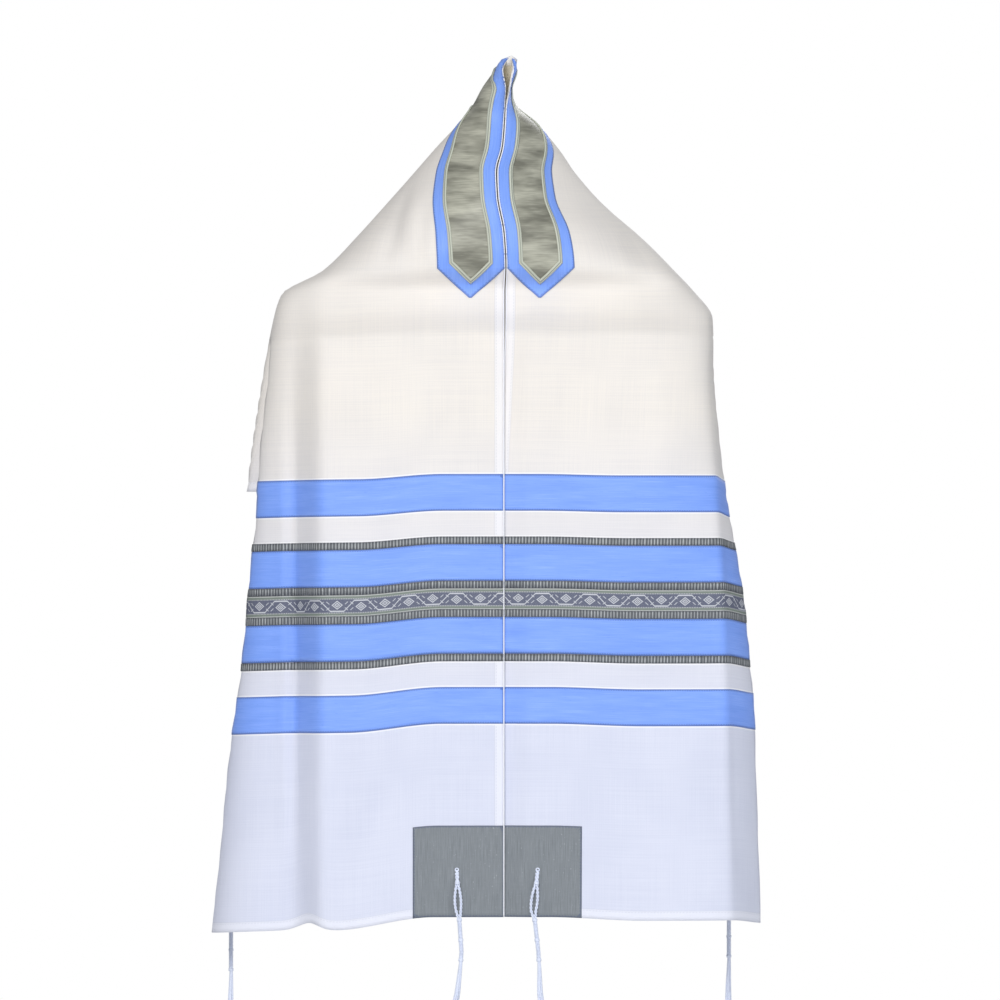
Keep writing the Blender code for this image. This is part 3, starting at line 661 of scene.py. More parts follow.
def lay_piece(name, alongs, acrosses, lift, wall, across_at=None, edge_at=None, lined=False):
    """A sheet over part of the cut, draped, with its wall half to each side.

    A lined piece gets two material slots, the second for its inner faces.
    """
    thing, column, row = flat_grid(name, len(alongs) - 1, len(acrosses) - 1)
    along = np.array(alongs)[column]
    across = np.array(acrosses)[row]
    if across_at:
        across = across_at(along, across)
    if edge_at:
        edge = edge_at(along, across)
    else:
        edge = np.minimum(
            np.minimum(along - alongs[0], alongs[-1] - along),
            np.minimum(across - acrosses[0], acrosses[-1] - across),
        )
    store_cut(thing.data, along, across, edge)
    thing.data.vertices.foreach_set("co", drape(along, across, lift).ravel())
    split_on_fold(thing, along, across)
    solidify = thing.modifiers.new("wall", "SOLIDIFY")
    solidify.thickness = wall
    solidify.offset = 0.0
    if lined:
        thing.data.materials.append(None)
        thing.data.materials.append(None)
        solidify.material_offset = 1
    apply_modifiers(thing)
    thing.data.shade_smooth()
    return thing


def lines_between(lines, low, high, extra=()):
    """The cloth's own lines inside a stretch, with its two ends and any more of its own."""
    near = 0.2 * STEP
    inside = [line for line in lines if low + near < line < high - near]
    return sorted(set(inside) | {low, high} | set(extra))


SIDES = (("left", -1), ("right", 1))
CLOTH_ALONGS = [STEP * number for number in range(-ALONG_CELLS // 2, ALONG_CELLS // 2 + 1)]
CLOTH_ACROSSES = [STEP * number for number in range(ACROSS_CELLS + 1)]
CLOTH_WALL = 1.0 * MM
SILK_WALL = 0.5 * MM
RIBBON_WALL = 0.7 * MM
TRIM_RAISED = 0.15 * MM
AIR = 0.1 * MM
SILK_LIFT = CLOTH_WALL / 2 + AIR + SILK_WALL / 2

# %% [markdown]
# ## The white cloth
# One sheet of fine wool, 18 by 72 inches, folded by the table. Its hem is turned to the inside
# all round and sewn down.

# %% Cut and fold the cloth
cloth = lay_piece("cloth", CLOTH_ALONGS, CLOTH_ACROSSES, 0.0, CLOTH_WALL, lined=True)
print("cloth", len(cloth.data.polygons), "faces")

# %% [markdown]
# ## The bands
# Each end carries silk bands, ribbed trims and a patterned ribbon, sewn on flat. They are
# separate strips on the real shawl, so each is a thin piece of its own, lying on the cloth and
# following each fold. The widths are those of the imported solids.

# %% Lay the bands, trims and ribbons
BAND_ORDER = [
    ("band_upper", BLUE),
    (None, WHITE),
    ("trim_a", TRIM),
    ("band_middle_upper", BLUE),
    ("trim_b", TRIM),
    ("ribbon", RIBBON),
    ("trim_c", TRIM),
    ("band_middle_lower", BLUE),
    ("trim_d", TRIM),
    (None, WHITE),
    ("band_lower", BLUE),
]


def strip_edges():
    """Name, start and end of each strip below the peak."""
    place = BANDS_START
    for name, width in BAND_ORDER:
        if name:
            yield name, place + SEAM_GAP / 2, place + width - SEAM_GAP / 2
        place += width


strips = {"band": [], "trim": [], "ribbon": []}
for side, sign in SIDES:
    for name, start, end in strip_edges():
        kind = name.split("_")[0]
        raised = TRIM_RAISED if kind == "trim" else 0.0
        wall = SILK_WALL if kind == "band" else RIBBON_WALL
        columns = lines_between(CLOTH_ALONGS, *sorted((sign * start, sign * end)))
        strip = lay_piece(
            f"silk_{name}_{side}", columns, CLOTH_ACROSSES,
            CLOTH_WALL / 2 + AIR + wall / 2 + raised, wall,
        )
        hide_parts(f"{name}_{side}")
        strips[kind].append(strip)
print({kind: len(pieces) for kind, pieces in strips.items()}, "strips")

# %% [markdown]
# ## Corner patches
# A square of grey silk strengthens each corner, where the fringe passes through an eyelet. The
# front pair shows beside the middle opening and the back pair sits at the outer corners.

# %% Lay the patches
patches = []
for side, sign in SIDES:
    for place, low in (("front", 0.0), ("back", WIDTH - PATCH)):
        stretch = sorted((sign * (HALF_LENGTH - PATCH), sign * HALF_LENGTH))
        patch = lay_piece(
            f"corner_patch_{place}_{side}",
            lines_between(CLOTH_ALONGS, *stretch),
            lines_between(CLOTH_ACROSSES, low, low + PATCH),
            SILK_LIFT, SILK_WALL,
        )
        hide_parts(f"patch_{place}_{side}")
        patches.append(patch)

# %% [markdown]
# ## The neckband
# The neckband is a blue silk strip along the middle of the long edge, pointed at both ends. A
# grey silk panel lies on it inside a narrow braid. A pointed end is made by drawing the rows of
# the grid together towards the tip.


# %% Shape the pointed strips
def pointed(low, high, corner, tip):
    """Draws a strip's lines together between its corners and its tip."""
    centre = (low + high) / 2

    def across_at(along, across):
        share = np.clip((np.abs(along) - corner) / (tip - corner), 0.0, 1.0)
        return centre + (across - centre) * (1 - share * (1 - TIP_WIDTH))

    return across_at


def distance_inside(low, high, corner, tip):
    """How far a place lies inside a pointed strip's outline."""
    centre, half = (low + high) / 2, (high - low) / 2
    slope = (tip - corner) / half

    def edge_at(along, across):
        to_side = half - np.abs(across - centre)
        to_point = tip - np.abs(along) - slope * np.abs(across - centre)
        return np.maximum(np.minimum(to_side, to_point / (1 + slope ** 2) ** 0.5), 0.0)

    return edge_at


def neckband_piece(name, low, high, corner, tip, lift, wall):
    """A strip along the middle of the long edge, pointed at both ends."""
    columns = lines_between(CLOTH_ALONGS, -tip, tip, (-corner, corner))
    rows = lines_between(CLOTH_ACROSSES, low, high)
    return lay_piece(
        name, columns, rows, lift, wall,
        pointed(low, high, corner, tip), distance_inside(low, high, corner, tip),
    )


NECKBAND_LIFT = 0.8 * MM
PANEL_LIFT = NECKBAND_LIFT + SILK_WALL + AIR
BRAID_WIDTH = 4.2 * MM
BRAID_WALL = 0.9 * MM
neckband = neckband_piece(
    "neckband_silk", 0.0, NECKBAND_WIDTH, NECKBAND_CORNER, NECKBAND_TIP,
    SILK_LIFT + NECKBAND_LIFT - SILK_WALL, SILK_WALL,
)
panel = neckband_piece(
    "neckband_panel_silk", PANEL_NEAR_EDGE, PANEL_FAR_EDGE, PANEL_CORNER, PANEL_TIP,
    SILK_LIFT + PANEL_LIFT - SILK_WALL, SILK_WALL,
)


def panel_outline(inset, count):
    """Places round the panel's pointed outline, set in from its edge by the inset."""
    centre = (PANEL_NEAR_EDGE + PANEL_FAR_EDGE) / 2
    half = (PANEL_FAR_EDGE - PANEL_NEAR_EDGE) / 2
    slope = (PANEL_TIP - PANEL_CORNER) / half
    tip = PANEL_TIP - inset * (1 + slope ** 2) ** 0.5
    half_in = half - inset
    corner = tip - slope * half_in
    corners = np.array([
        (-corner, centre - half_in), (corner, centre - half_in), (tip, centre),
        (corner, centre + half_in), (-corner, centre + half_in), (-tip, centre),
        (-corner, centre - half_in),
    ])
    sides = [np.linspace(a, b, n + 1)[:-1] for a, b, n in zip(corners, corners[1:], count)]
    return np.vstack(sides + [corners[-1:]])


BRAID_COUNTS = (92, 6, 6, 92, 6, 6)
BRAID_CELLS = 3
BRAID_CROWN = (0.0, 0.35, 0.35, 0.0)
BRAID_WELD = 0.0001
insets = np.linspace(0, BRAID_WIDTH, BRAID_CELLS + 1)
braid_rows = [panel_outline(inset, BRAID_COUNTS) for inset in insets]
braid, braid_column, braid_row = flat_grid("neckband_braid", sum(BRAID_COUNTS), BRAID_CELLS)
braid_places = np.array(braid_rows)[braid_row, braid_column]
braid_crown = np.array(BRAID_CROWN)[braid_row] * MM
braid_length = arc_lengths(braid_rows[0])[braid_column]
braid_edge = braid_row / BRAID_CELLS * BRAID_WIDTH
store_cut(braid.data, braid_length, braid_edge, braid_edge)
braid_lift = SILK_LIFT + PANEL_LIFT - SILK_WALL / 2 + AIR + BRAID_WALL / 2
braid_points = drape(braid_places[:, 0], braid_places[:, 1], braid_lift + braid_crown)
braid.data.vertices.foreach_set("co", braid_points.ravel())
weld = braid.modifiers.new("close the ring", "WELD")
weld.merge_threshold = BRAID_WELD
braid_wall = braid.modifiers.new("wall", "SOLIDIFY")
braid_wall.thickness = BRAID_WALL
braid_wall.offset = 0.0
apply_modifiers(braid)
braid.data.shade_smooth()
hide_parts("neckband_border")
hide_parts("neckband_panel")
print("neckband", [round(v, 3) for v in neckband.dimensions])

# %% [markdown]
# ## Edge piping
# The long edge is finished with a fine white cord that shows as a bright line down the middle
# opening. A tube with the cord's radius is swept along the draped edge of each half.


# %% Sweep cords along their routes
CORD_WELD = 0.00001


def swept_cord(name, routes, radius, sides=2, closed=False):
    """One mesh of round cords of one radius, each along its own list of points."""
    data = bpy.data.curves.new(name, "CURVE")
    data.dimensions = "3D"
    data.bevel_depth = radius
    data.bevel_resolution = sides
    data.use_fill_caps = True
    data.resolution_u = 1
    for route in routes:
        spline = data.splines.new("POLY")
        spline.points.add(len(route) - 1)
        flat = np.column_stack([np.asarray(route, float), np.ones(len(route))])
        spline.points.foreach_set("co", flat.ravel())
        spline.use_cyclic_u = closed
    curve = bpy.data.objects.new(name, data)
    bpy.context.scene.collection.objects.link(curve)
    select_only(curve)
    bpy.ops.object.convert(target="MESH")
    thing = bpy.context.object
    weld = thing.modifiers.new("join the caps", "WELD")
    weld.merge_threshold = CORD_WELD
    apply_modifiers(thing)
    thing.data.shade_smooth()
    return thing


PIPING_RADIUS = 0.65 * MM
PIPING_START = 0.012
PIPING_INSET = 0.0004
PIPING_LIFT = 0.9 * MM
PIPING_POINTS = 240
pipings = []
for side, sign in SIDES:
    along = sign * np.linspace(PIPING_START, HALF_LENGTH, PIPING_POINTS)
    edge = drape(along, np.full_like(along, PIPING_INSET), PIPING_LIFT)
    pipings.append(swept_cord(f"edge_piping_{side}", [edge], PIPING_RADIUS))

# %% [markdown]
# ## Corner fringes
# At each corner the strings pass through an eyelet and hang over the patch as two loosely
# twisted pairs, held by a knot below the eyelet and one at the hem. Below the hem they are
# wound and knotted, and then the eight ends hang free and part slowly. Each string is a fine
# round cord here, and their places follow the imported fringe.

# %% Routes of the fringes
# Sideways sway in millimetres at even steps from the eyelet to the ends
SWAYS = {
    "fringe_front_left": (0, 2, 5, 1, -8, -11, -12),
    "fringe_front_right": (0, -4, 1, 3, 9, 12, 13),
    "fringe_back_left": (0, 0, -1, -4, 3, 5, 6),
    "fringe_back_right": (0, 0, 2, 7, 2, 1, 3),
}
FIRST_KNOT = 14 * MM
HEM_KNOT = 53 * MM
HEAD_LENGTH = 96 * MM
KNOT_SPACING = 21 * MM
STRING_RADIUS = 0.85 * MM
STRING_SPREAD = 5.5 * MM
PAIR_APART = 3.0 * MM
PAIR_LEAST_APART = 0.6 * MM
PAIR_TWIST = 8.0 * MM
PAIR_ROUND = 1.05
NARROWER_PAIR = 0.8
HEAD_CORE = 1.75 * MM
CORE_OVERLAP = 2 * MM
WINDING_RADIUS = 0.55 * MM
WINDING_PITCH = 1.5 * MM
WINDING_SINK = 0.25 * MM
WINDING_MARGIN = 2.2 * MM
KNOT_RADIUS = 2.8 * MM
KNOT_THREAD = 0.85 * MM
KNOT_TILT = 1.1 * MM
KNOT_APART = 0.5 * MM
KNOT_POINTS = 22
STRING_COUNT = 8
STRING_TURN = 0.3
STRING_START = 0.9 * MM
STRING_OVERLAP = 3 * MM
STRING_UNEVEN = 3 * MM
PAIR_POINTS = 60
CORE_POINTS = 24
TURN_POINTS = 10
STRING_POINTS = 44
FRINGE_LIFT = 4.8 * MM
EYELET_RADIUS = 1.7 * MM
EYELET_THREAD = 0.65 * MM
EYELET_LIFT = SILK_LIFT + SILK_WALL / 2 + 0.4 * MM
EYELET_POINTS = 20


def fringe_middle(name, sign, across, distances):
    """The middle line of a fringe at distances below its eyelet."""
    distances = np.asarray(distances, float)
    start = HALF_LENGTH - EYELET_INSET
    on_cloth = np.minimum(distances, EYELET_INSET)
    lift = FRINGE_LIFT * smooth_step(distances / FIRST_KNOT)
    places = drape(sign * (start + on_cloth), np.full_like(distances, across), 0.0)
    outside = drape(sign * (start + on_cloth), np.full_like(distances, across), MM)
    base = places + (outside - places) / MM * lift[:, None]
    base[:, 2] -= distances - on_cloth
    sways = SWAYS[name]
    sway = np.interp(distances / FRINGE_LENGTH * (len(sways) - 1), range(len(sways)), sways)
    base[:, 1 if "back" in name else 0] += sway * MM
    return base


def around(middle, radius, turns):
    """Points that circle a middle line, level with it."""
    return middle + np.column_stack([
        radius * np.cos(turns), radius * np.sin(turns), np.zeros_like(turns),
    ])


def loose_pairs(middle_at, sideways):
    """Four strings from the eyelet to the hem's knot, as two twisted pairs that bow apart."""
    run = np.linspace(0.0, HEM_KNOT, PAIR_POINTS)
    middle = middle_at(run)
    bow = np.clip((run - FIRST_KNOT) / (HEM_KNOT - FIRST_KNOT), 0, 1)
    apart = PAIR_APART * np.sin(pi * bow) + PAIR_LEAST_APART
    routes = []
    for side in (-1, 1):
        line = middle.copy()
        line[:, sideways] += side * apart * (1.0 if side < 0 else NARROWER_PAIR)
        for phase in (0.0, pi):
            turns = run / PAIR_TWIST * 2 * pi + phase
            routes.append(around(line, STRING_RADIUS * PAIR_ROUND, turns))
    return routes


def knot_rings(middle_at, place):
    """Two rings of thread round the fringe, tilted against each other."""
    rings = []
    for tilt in (-1, 1):
        turns = np.linspace(0, 2 * pi, KNOT_POINTS)
        ring = around(middle_at(np.full(KNOT_POINTS, place)), KNOT_RADIUS - KNOT_THREAD, turns)
        ring[:, 2] += tilt * (KNOT_TILT * np.sin(turns) + KNOT_APART)
        rings.append(ring)
    return rings


def make_fringe(name, sign, across):
    """Pairs, knots, wound head and strings of one fringe as one mesh."""

    def middle_at(distances):
        return fringe_middle(name, sign, across, distances)

    pairs = loose_pairs(middle_at, 1 if "back" in name else 0)
    knot_places = np.arange(HEM_KNOT, HEAD_LENGTH + MM, KNOT_SPACING)
    cores = [middle_at(np.linspace(HEM_KNOT - CORE_OVERLAP, HEAD_LENGTH, CORE_POINTS))]
    windings = []
    for first, last in zip(knot_places, knot_places[1:]):
        step = WINDING_PITCH / TURN_POINTS
        run = np.arange(first + WINDING_MARGIN, last - WINDING_MARGIN, step)
        turns = (run - first) / WINDING_PITCH * 2 * pi
        windings.append(around(middle_at(run), HEAD_CORE + WINDING_SINK, turns))
    knots = []
    for place in (FIRST_KNOT, *knot_places):
        knots += knot_rings(middle_at, place)
    strings = []
    for number in range(STRING_COUNT):
        turn = number * 2 * pi / STRING_COUNT + STRING_TURN
        length = FRINGE_LENGTH - STRING_UNEVEN * (number * 5 % STRING_COUNT)
        run = np.linspace(HEAD_LENGTH - STRING_OVERLAP, length, STRING_POINTS)
        share = (run - run[0]) / (FRINGE_LENGTH - run[0])
        # Each string parts by its own amount and wanders on its own way down
        uneven = 0.55 + 0.45 * sin(number * 2.4 + 1)
        radius = STRING_START + STRING_SPREAD * share ** 0.7 * uneven
        waves = turn + 0.5 * np.sin(share * 7 + number * 1.7)
        strings.append(around(middle_at(run), radius, waves))
    turns = np.linspace(0, 2 * pi, EYELET_POINTS)[:-1]
    eyelet = drape(
        sign * (HALF_LENGTH - EYELET_INSET + EYELET_RADIUS * np.sin(turns)),
        across + EYELET_RADIUS * np.cos(turns), EYELET_LIFT,
    )
    pieces = [
        swept_cord(f"{name}_core", cores, HEAD_CORE),
        swept_cord(f"{name}_pairs", pairs, STRING_RADIUS, 1),
        swept_cord(f"{name}_windings", windings, WINDING_RADIUS, 1),
        swept_cord(f"{name}_knots", knots, KNOT_THREAD, 2),
        swept_cord(f"{name}_strings", strings, STRING_RADIUS, 1),
        swept_cord(f"{name}_eyelet", [eyelet], EYELET_THREAD, 2, closed=True),
    ]
    bpy.ops.object.select_all(action="DESELECT")
    for piece in pieces:
        piece.select_set(True)
    bpy.context.view_layer.objects.active = pieces[0]
    bpy.ops.object.join()
    fringe = bpy.context.object
    fringe.name = fringe.data.name = f"strings_{name}"
    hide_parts(name)
    return fringe


fringes = [
    make_fringe(f"fringe_{place}_{side}", sign, across)
    for side, sign in SIDES
    for place, across in (("front", EYELET_INSET), ("back", WIDTH - EYELET_INSET))
]
print("fringe", len(fringes[0].data.polygons), "faces")

# %% [markdown]
# ## Writing shader maths as expressions
# A node group for a weave or a woven motif is mostly arithmetic. A small class wraps a socket
# and gives it Python's operators, so that `1 - mask` adds its own Math node. Everything else
# comes from one method that takes a node's type, its settings and its inputs.


# %% A value of the node tree
class Value:
    """An output socket of a finish, with the operators of arithmetic."""

    def __init__(self, finish, socket):
        self.finish, self.socket = finish, socket

    def math(self, operation, *others):
        inputs = dict(enumerate((self, *others)))
        return self.finish.node("ShaderNodeMath", {"operation": operation}, inputs)

    def __add__(self, other):
        return self.math("ADD", other)

    def __radd__(self, other):
        return self.math("ADD", other)

    def __sub__(self, other):
        return self.math("SUBTRACT", other)

    def __rsub__(self, other):
        return (self * -1).math("ADD", other)

    def __mul__(self, other):
        return self.math("MULTIPLY", other)

    def __truediv__(self, other):
        return self.math("DIVIDE", other)

    def __abs__(self):
        return self.math("ABSOLUTE")

    def sine(self):
        return self.math("SINE")

    def fraction(self):
        """What is left over whole numbers, from 0 to 1."""
        return self.math("FRACT")

    def low(self, other):
        return self.math("MINIMUM", other)

    def high(self, other):
        return self.math("MAXIMUM", other)

    def held(self, lowest=0.0, highest=1.0):
        """The value, kept between two bounds."""
        return self.high(lowest).low(highest)

    def rise(self, start, end):
        """0 before the start, 1 past the end, even between them."""
        return ((self - start) / (end - start)).held()

    def line(self, place, half_width, soft):
        """1 within half a width of a place, fading to 0 over the soft distance."""
        return 1 - abs(self - place).rise(half_width, half_width + soft)


def srgb(red, green, blue):
    """A colour as read off a screen, from 0 to 255, as linear numbers for a node."""
    channels = [channel / 255 for channel in (red, green, blue)]
    linear = [c / 12.92 if c <= 0.04045 else ((c + 0.055) / 1.055) ** 2.4 for c in channels]
    return (*linear, 1.0)


# %% A finish and its nodes
class Finish:
    """One material: the nodes of its colour, roughness and relief."""

    def __init__(self, name):
        self.material = bpy.data.materials.new(name)
        self.material.use_nodes = True
        self.tree = self.material.node_tree
        self.shader = self.tree.nodes["Principled BSDF"]

    def node(self, kind, settings=None, inputs=None, output=0):
        """Adds a node and gives one of its outputs as a value."""
        made = self.tree.nodes.new(kind)
        for key, value in (settings or {}).items():
            setattr(made, key, value)
        for key, value in (inputs or {}).items():
            self.feed(made.inputs[key], value)
        return Value(self, made.outputs[output])

    def feed(self, socket, value):
        """Links a value to a socket, or sets the socket to a plain number or colour."""
        if isinstance(value, Value):
            self.tree.links.new(value.socket, socket)
        else:
            socket.default_value = value

    def set(self, **values):
        """Sets the shader's sockets, named with underscores for spaces."""
        for key, value in values.items():
            self.feed(self.shader.inputs[key.replace("_", " ")], value)

    def cut(self):
        """Distances along and across the cut, in millimetres."""
        uv = self.node("ShaderNodeUVMap", {"uv_map": "cut"})
        apart = {"Vector": uv}
        along = self.node("ShaderNodeSeparateXYZ", inputs=apart, output="X")
        across = self.node("ShaderNodeSeparateXYZ", inputs=apart, output="Y")
        return along * 1000, across * 1000

    def edge(self):
        """Distance from the edge of the piece, in millimetres."""
        return self.node("ShaderNodeAttribute", {"attribute_name": "edge"}, output="Fac") * 1000

    def place(self):
        return self.node("ShaderNodeTexCoord", output="Object")

    def height(self):
        return self.node("ShaderNodeSeparateXYZ", inputs={"Vector": self.place()}, output="Z")

    def noise(self, vector, scale, detail, roughness):
        inputs = {"Vector": vector, "Scale": scale, "Detail": detail, "Roughness": roughness}
        return self.node("ShaderNodeTexNoise", inputs=inputs)

    def grain(self, x, y, detail, roughness=0.5):
        """Noise over the cut. Each factor on x or y says how often it changes there."""
        flat = self.node("ShaderNodeCombineXYZ", inputs={"X": x, "Y": y})
        return self.noise(flat, 1.0, detail, roughness)

    def mix(self, share, first, second, blend="MIX"):
        settings = {"data_type": "RGBA", "blend_type": blend, "clamp_factor": True}
        return self.node("ShaderNodeMix", settings, {0: share, 6: first, 7: second}, output=2)

    def bump(self, height, depth):
        """Relief from a height of 0 to 1, as deep as given in metres."""
        inputs = {"Height": height, "Strength": 1.0, "Distance": depth}
        return self.node("ShaderNodeBump", inputs=inputs)

    def wear(self, pieces):
        """Gives the material to each piece as its only one."""
        for piece in pieces:
            piece.data.materials.clear()
            piece.data.materials.append(self.material)


# %% [markdown]
# ## Finish of the white cloth
# The cloth is a fine plain weave with uneven threads. It is a little warmer at the shoulders
# and cooler towards the hem. Along each edge the cloth is doubled by its hem, which shows as a
# lighter strip with a faint line of stitches. A thin painted highlight runs beside each strip,
# fainter on the inside, and the inside's creamier tint, strongest at the shoulders, is a painted
# warm light.

# %% Weave the wool
# Distances in the finishes are in millimetres of the cut
WEAVE_PITCH = 0.62
SILK_PITCH = 0.5
HEM_WIDTH = 10.0
STITCH_PITCH = 3.4
# Heights in metres between which the wool's tint goes from warm to cool
WARM_ABOVE = -0.38
COOL_BELOW = -0.72
# Where the strips meet bare cloth, in millimetres from the shoulder line, and where the painted
# highlight lines run
BAND_BORDERS = np.cumsum(
    (BANDS_START, BLUE, WHITE, TRIM + BLUE + TRIM + RIBBON + TRIM + BLUE + TRIM, WHITE, BLUE)
) / MM


def fine_weave(finish, along, across, pitch):
    """Height of a plain weave from 0 to 1: threads over and under each other."""
    turn = 2 * pi / pitch
    over = (along * turn).sine() * (across * turn).sine()
    return over * 0.5 + 0.5


def wool(name, upper, lower, highlight_strength):
    """White wool between two tints, with painted highlight lines as strong as given beside the
    strips.
    """
    finish = Finish(name)
    along, across = finish.cut()
    thick_thin = finish.grain(along * 0.012, across * 1.3, 3.0)
    down_threads = finish.grain(along * 1.1, across * 0.010, 3.0)
    cloudy = finish.grain(along * 0.011, across * 0.014, 2.0)
    tint = finish.mix(finish.height().rise(WARM_ABOVE, COOL_BELOW), upper, lower)
    threads = (thick_thin + down_threads) * 0.5
    tint = finish.mix(threads.rise(0.42, 0.62) * 0.16, tint, WOOL_SHADE, "MULTIPLY")
    tint = finish.mix(cloudy.rise(0.40, 0.66) * 0.10, tint, WOOL_SHADE, "MULTIPLY")
    edge = finish.edge()
    hem = 1 - edge.rise(HEM_WIDTH - 0.6, HEM_WIDTH + 0.6)
    fold_line = edge.line(HEM_WIDTH, 0.25, 0.6)
    dashes = ((along + across) / STITCH_PITCH).fraction().line(0.5, 0.28, 0.08)
    stitches = edge.line(HEM_WIDTH - 1.6, 0.25, 0.3) * dashes
    tint = finish.mix(hem * 0.45, tint, srgb(243, 244, 252))
    tint = finish.mix(fold_line * 0.14, tint, srgb(150, 155, 175))
    tint = finish.mix(stitches * 0.22, tint, srgb(160, 165, 185))
    # Painted highlight: a thin light line on the cloth along each edge of a strip
    for border in BAND_BORDERS:
        edge_highlight = abs(along).line(border, 1.1, 0.7)
        tint = finish.mix(edge_highlight * highlight_strength, tint, srgb(252, 252, 255))
    weave = fine_weave(finish, along, across, WEAVE_PITCH)
    relief = weave * 0.25 + threads * 0.6 + hem * 0.5 - stitches * 0.5
    finish.set(
        Base_Color=tint, Roughness=0.86, Specular_IOR_Level=0.25,
        Sheen_Weight=0.12, Sheen_Roughness=0.5, Normal=finish.bump(relief, 0.16 * MM),
    )
    return finish


WOOL_SHADE = srgb(205, 210, 224)
# The last number is the strength of the painted highlight lines beside the strips
outside = wool("white_wool", srgb(236, 231, 225), srgb(217, 221, 238), 0.75)
# The creamier tint of the inside, strongest at the shoulders, is a painted warm light
inside = wool("white_wool_inside", srgb(236, 228, 208), srgb(228, 228, 232), 0.15)

cloth.data.materials[0] = outside.material
cloth.data.materials[1] = inside.material

# %% [markdown]
# ## Finish of the blue silk
# The bands are cut from slubbed silk: thick places in the weft draw out as fine darker and
# lighter streaks along the band, with a few short knots. The edges are turned under and sewn
# with a row of tiny stitches, and the colour is darker along each edge.

# %% Weave the blue silk
BLUE_TINT = srgb(132, 170, 253)
BLUE_DEEP = srgb(96, 138, 232)
BLUE_PALE = srgb(160, 190, 255)


def slubbed_silk(name, lengthways):
    """Silk whose slubs run across the cut, or along it when lengthways."""
    finish = Finish(name)
    along, across = finish.cut()
    run, rise = (along, across) if lengthways else (across, along)
    streaks = finish.grain(run * 0.028, rise * 1.9, 3.0, 0.6)
    broad = finish.grain(run * 0.010, rise * 0.10, 2.0)
    knots = finish.grain(run * 0.16, rise * 1.35, 1.0)
    colour = finish.mix(streaks.rise(0.40, 0.66) * 0.42, BLUE_TINT, BLUE_DEEP)
    colour = finish.mix((1 - streaks.rise(0.30, 0.46)) * 0.40, colour, BLUE_PALE)
    colour = finish.mix(broad.rise(0.42, 0.64) * 0.26, colour, BLUE_DEEP)
    colour = finish.mix(knots.rise(0.70, 0.76) * 0.60, colour, BLUE_DEEP)
    edge = finish.edge()
    # Darker along each edge
    darker_edge = 1 - edge.rise(0.5, 1.7)
    dashes = (run / 2.6).fraction().line(0.5, 0.25, 0.1)
    stitches = edge.line(1.6, 0.2, 0.3) * dashes
    colour = finish.mix(darker_edge * 0.55, colour, srgb(58, 80, 140))
    colour = finish.mix(stitches * 0.5, colour, srgb(70, 96, 170))
    weave = fine_weave(finish, along, across, SILK_PITCH)
    relief = streaks * 0.7 + knots.rise(0.66, 0.78) * 0.5 + weave * 0.2 - stitches * 0.4
    finish.set(
        Base_Color=colour, Roughness=0.42 + streaks * 0.2, Specular_IOR_Level=0.4,
        Sheen_Weight=0.08, Normal=finish.bump(relief, 0.14 * MM),
    )
    return finish


band_silk = slubbed_silk("blue_silk", False)
band_silk.wear(strips["band"])
neck_silk = slubbed_silk("blue_silk_neckband", True)
neck_silk.wear([neckband])

# %% [markdown]
# ## Finish of the ribbed trims
# Between the blue bands run narrow trims of dark grey with uneven light ribs across them, and
# their fuzzy edges stand over the silk on both sides.


# %% Weave the trims
RIB_PITCH = 3.4


def ribbed(name):
    """Dark trim with uneven light ribs across it and fuzzy edges."""
    finish = Finish(name)
    along, across = finish.cut()
    ribs = finish.grain(across * 0.30, along * 0.03, 2.0, 0.7)
    even = (across / RIB_PITCH + ribs * 0.4).fraction().line(0.5, 0.14, 0.16)
    light = even * (ribs.rise(0.34, 0.60) * 0.6 + 0.4)
    ground = finish.grain(across * 1.6, along * 1.6, 2.0)
    colour = finish.mix(ground, srgb(74, 78, 84), srgb(112, 116, 120))
    colour = finish.mix(light * 0.80, colour, srgb(192, 196, 200))
    edge = finish.edge()
    fuzz = finish.grain(across * 0.9, along * 0.2, 3.0)
    shade = 1 - edge.rise(0.2, 1.8)
    colour = finish.mix(shade * fuzz.rise(0.3, 0.6) * 0.7, colour, srgb(66, 70, 84))
    relief = light * 0.8 + even * 0.4
    finish.set(
        Base_Color=colour, Roughness=0.72, Specular_IOR_Level=0.3,
        Normal=finish.bump(relief, 0.35 * MM),
    )
    return finish


trim_weave = ribbed("ribbed_trim")
trim_weave.wear(strips["trim"])

# %% [markdown]
# ## Finish of the patterned ribbon
# The ribbon in the middle is a jacquard: pale diamonds inside diamonds, and an angular wave
# that passes over one and under the next. It is a traditional ornament and simple geometry, so
# it is drawn by formula: a diamond is a sum of two distances, and the wave is a triangle wave
# with its tops cut flat.

# %% Weave the ribbon
MOTIF_PITCH = 25.2
DIAMOND_HALF_WIDTH = 5.7
DIAMOND_HALF_HEIGHT = 4.4
WAVE_HEIGHT = 5.6
WAVE_STEEPNESS = 2.3
BEAD_LINE = 7.3
BEAD_PITCH = 1.8
GREEN_STRIP = 8.9
PALE_LINE = 10.4
RIBBON_CENTRE = (BANDS_START + BLUE + WHITE + TRIM + BLUE + TRIM + RIBBON / 2) / MM


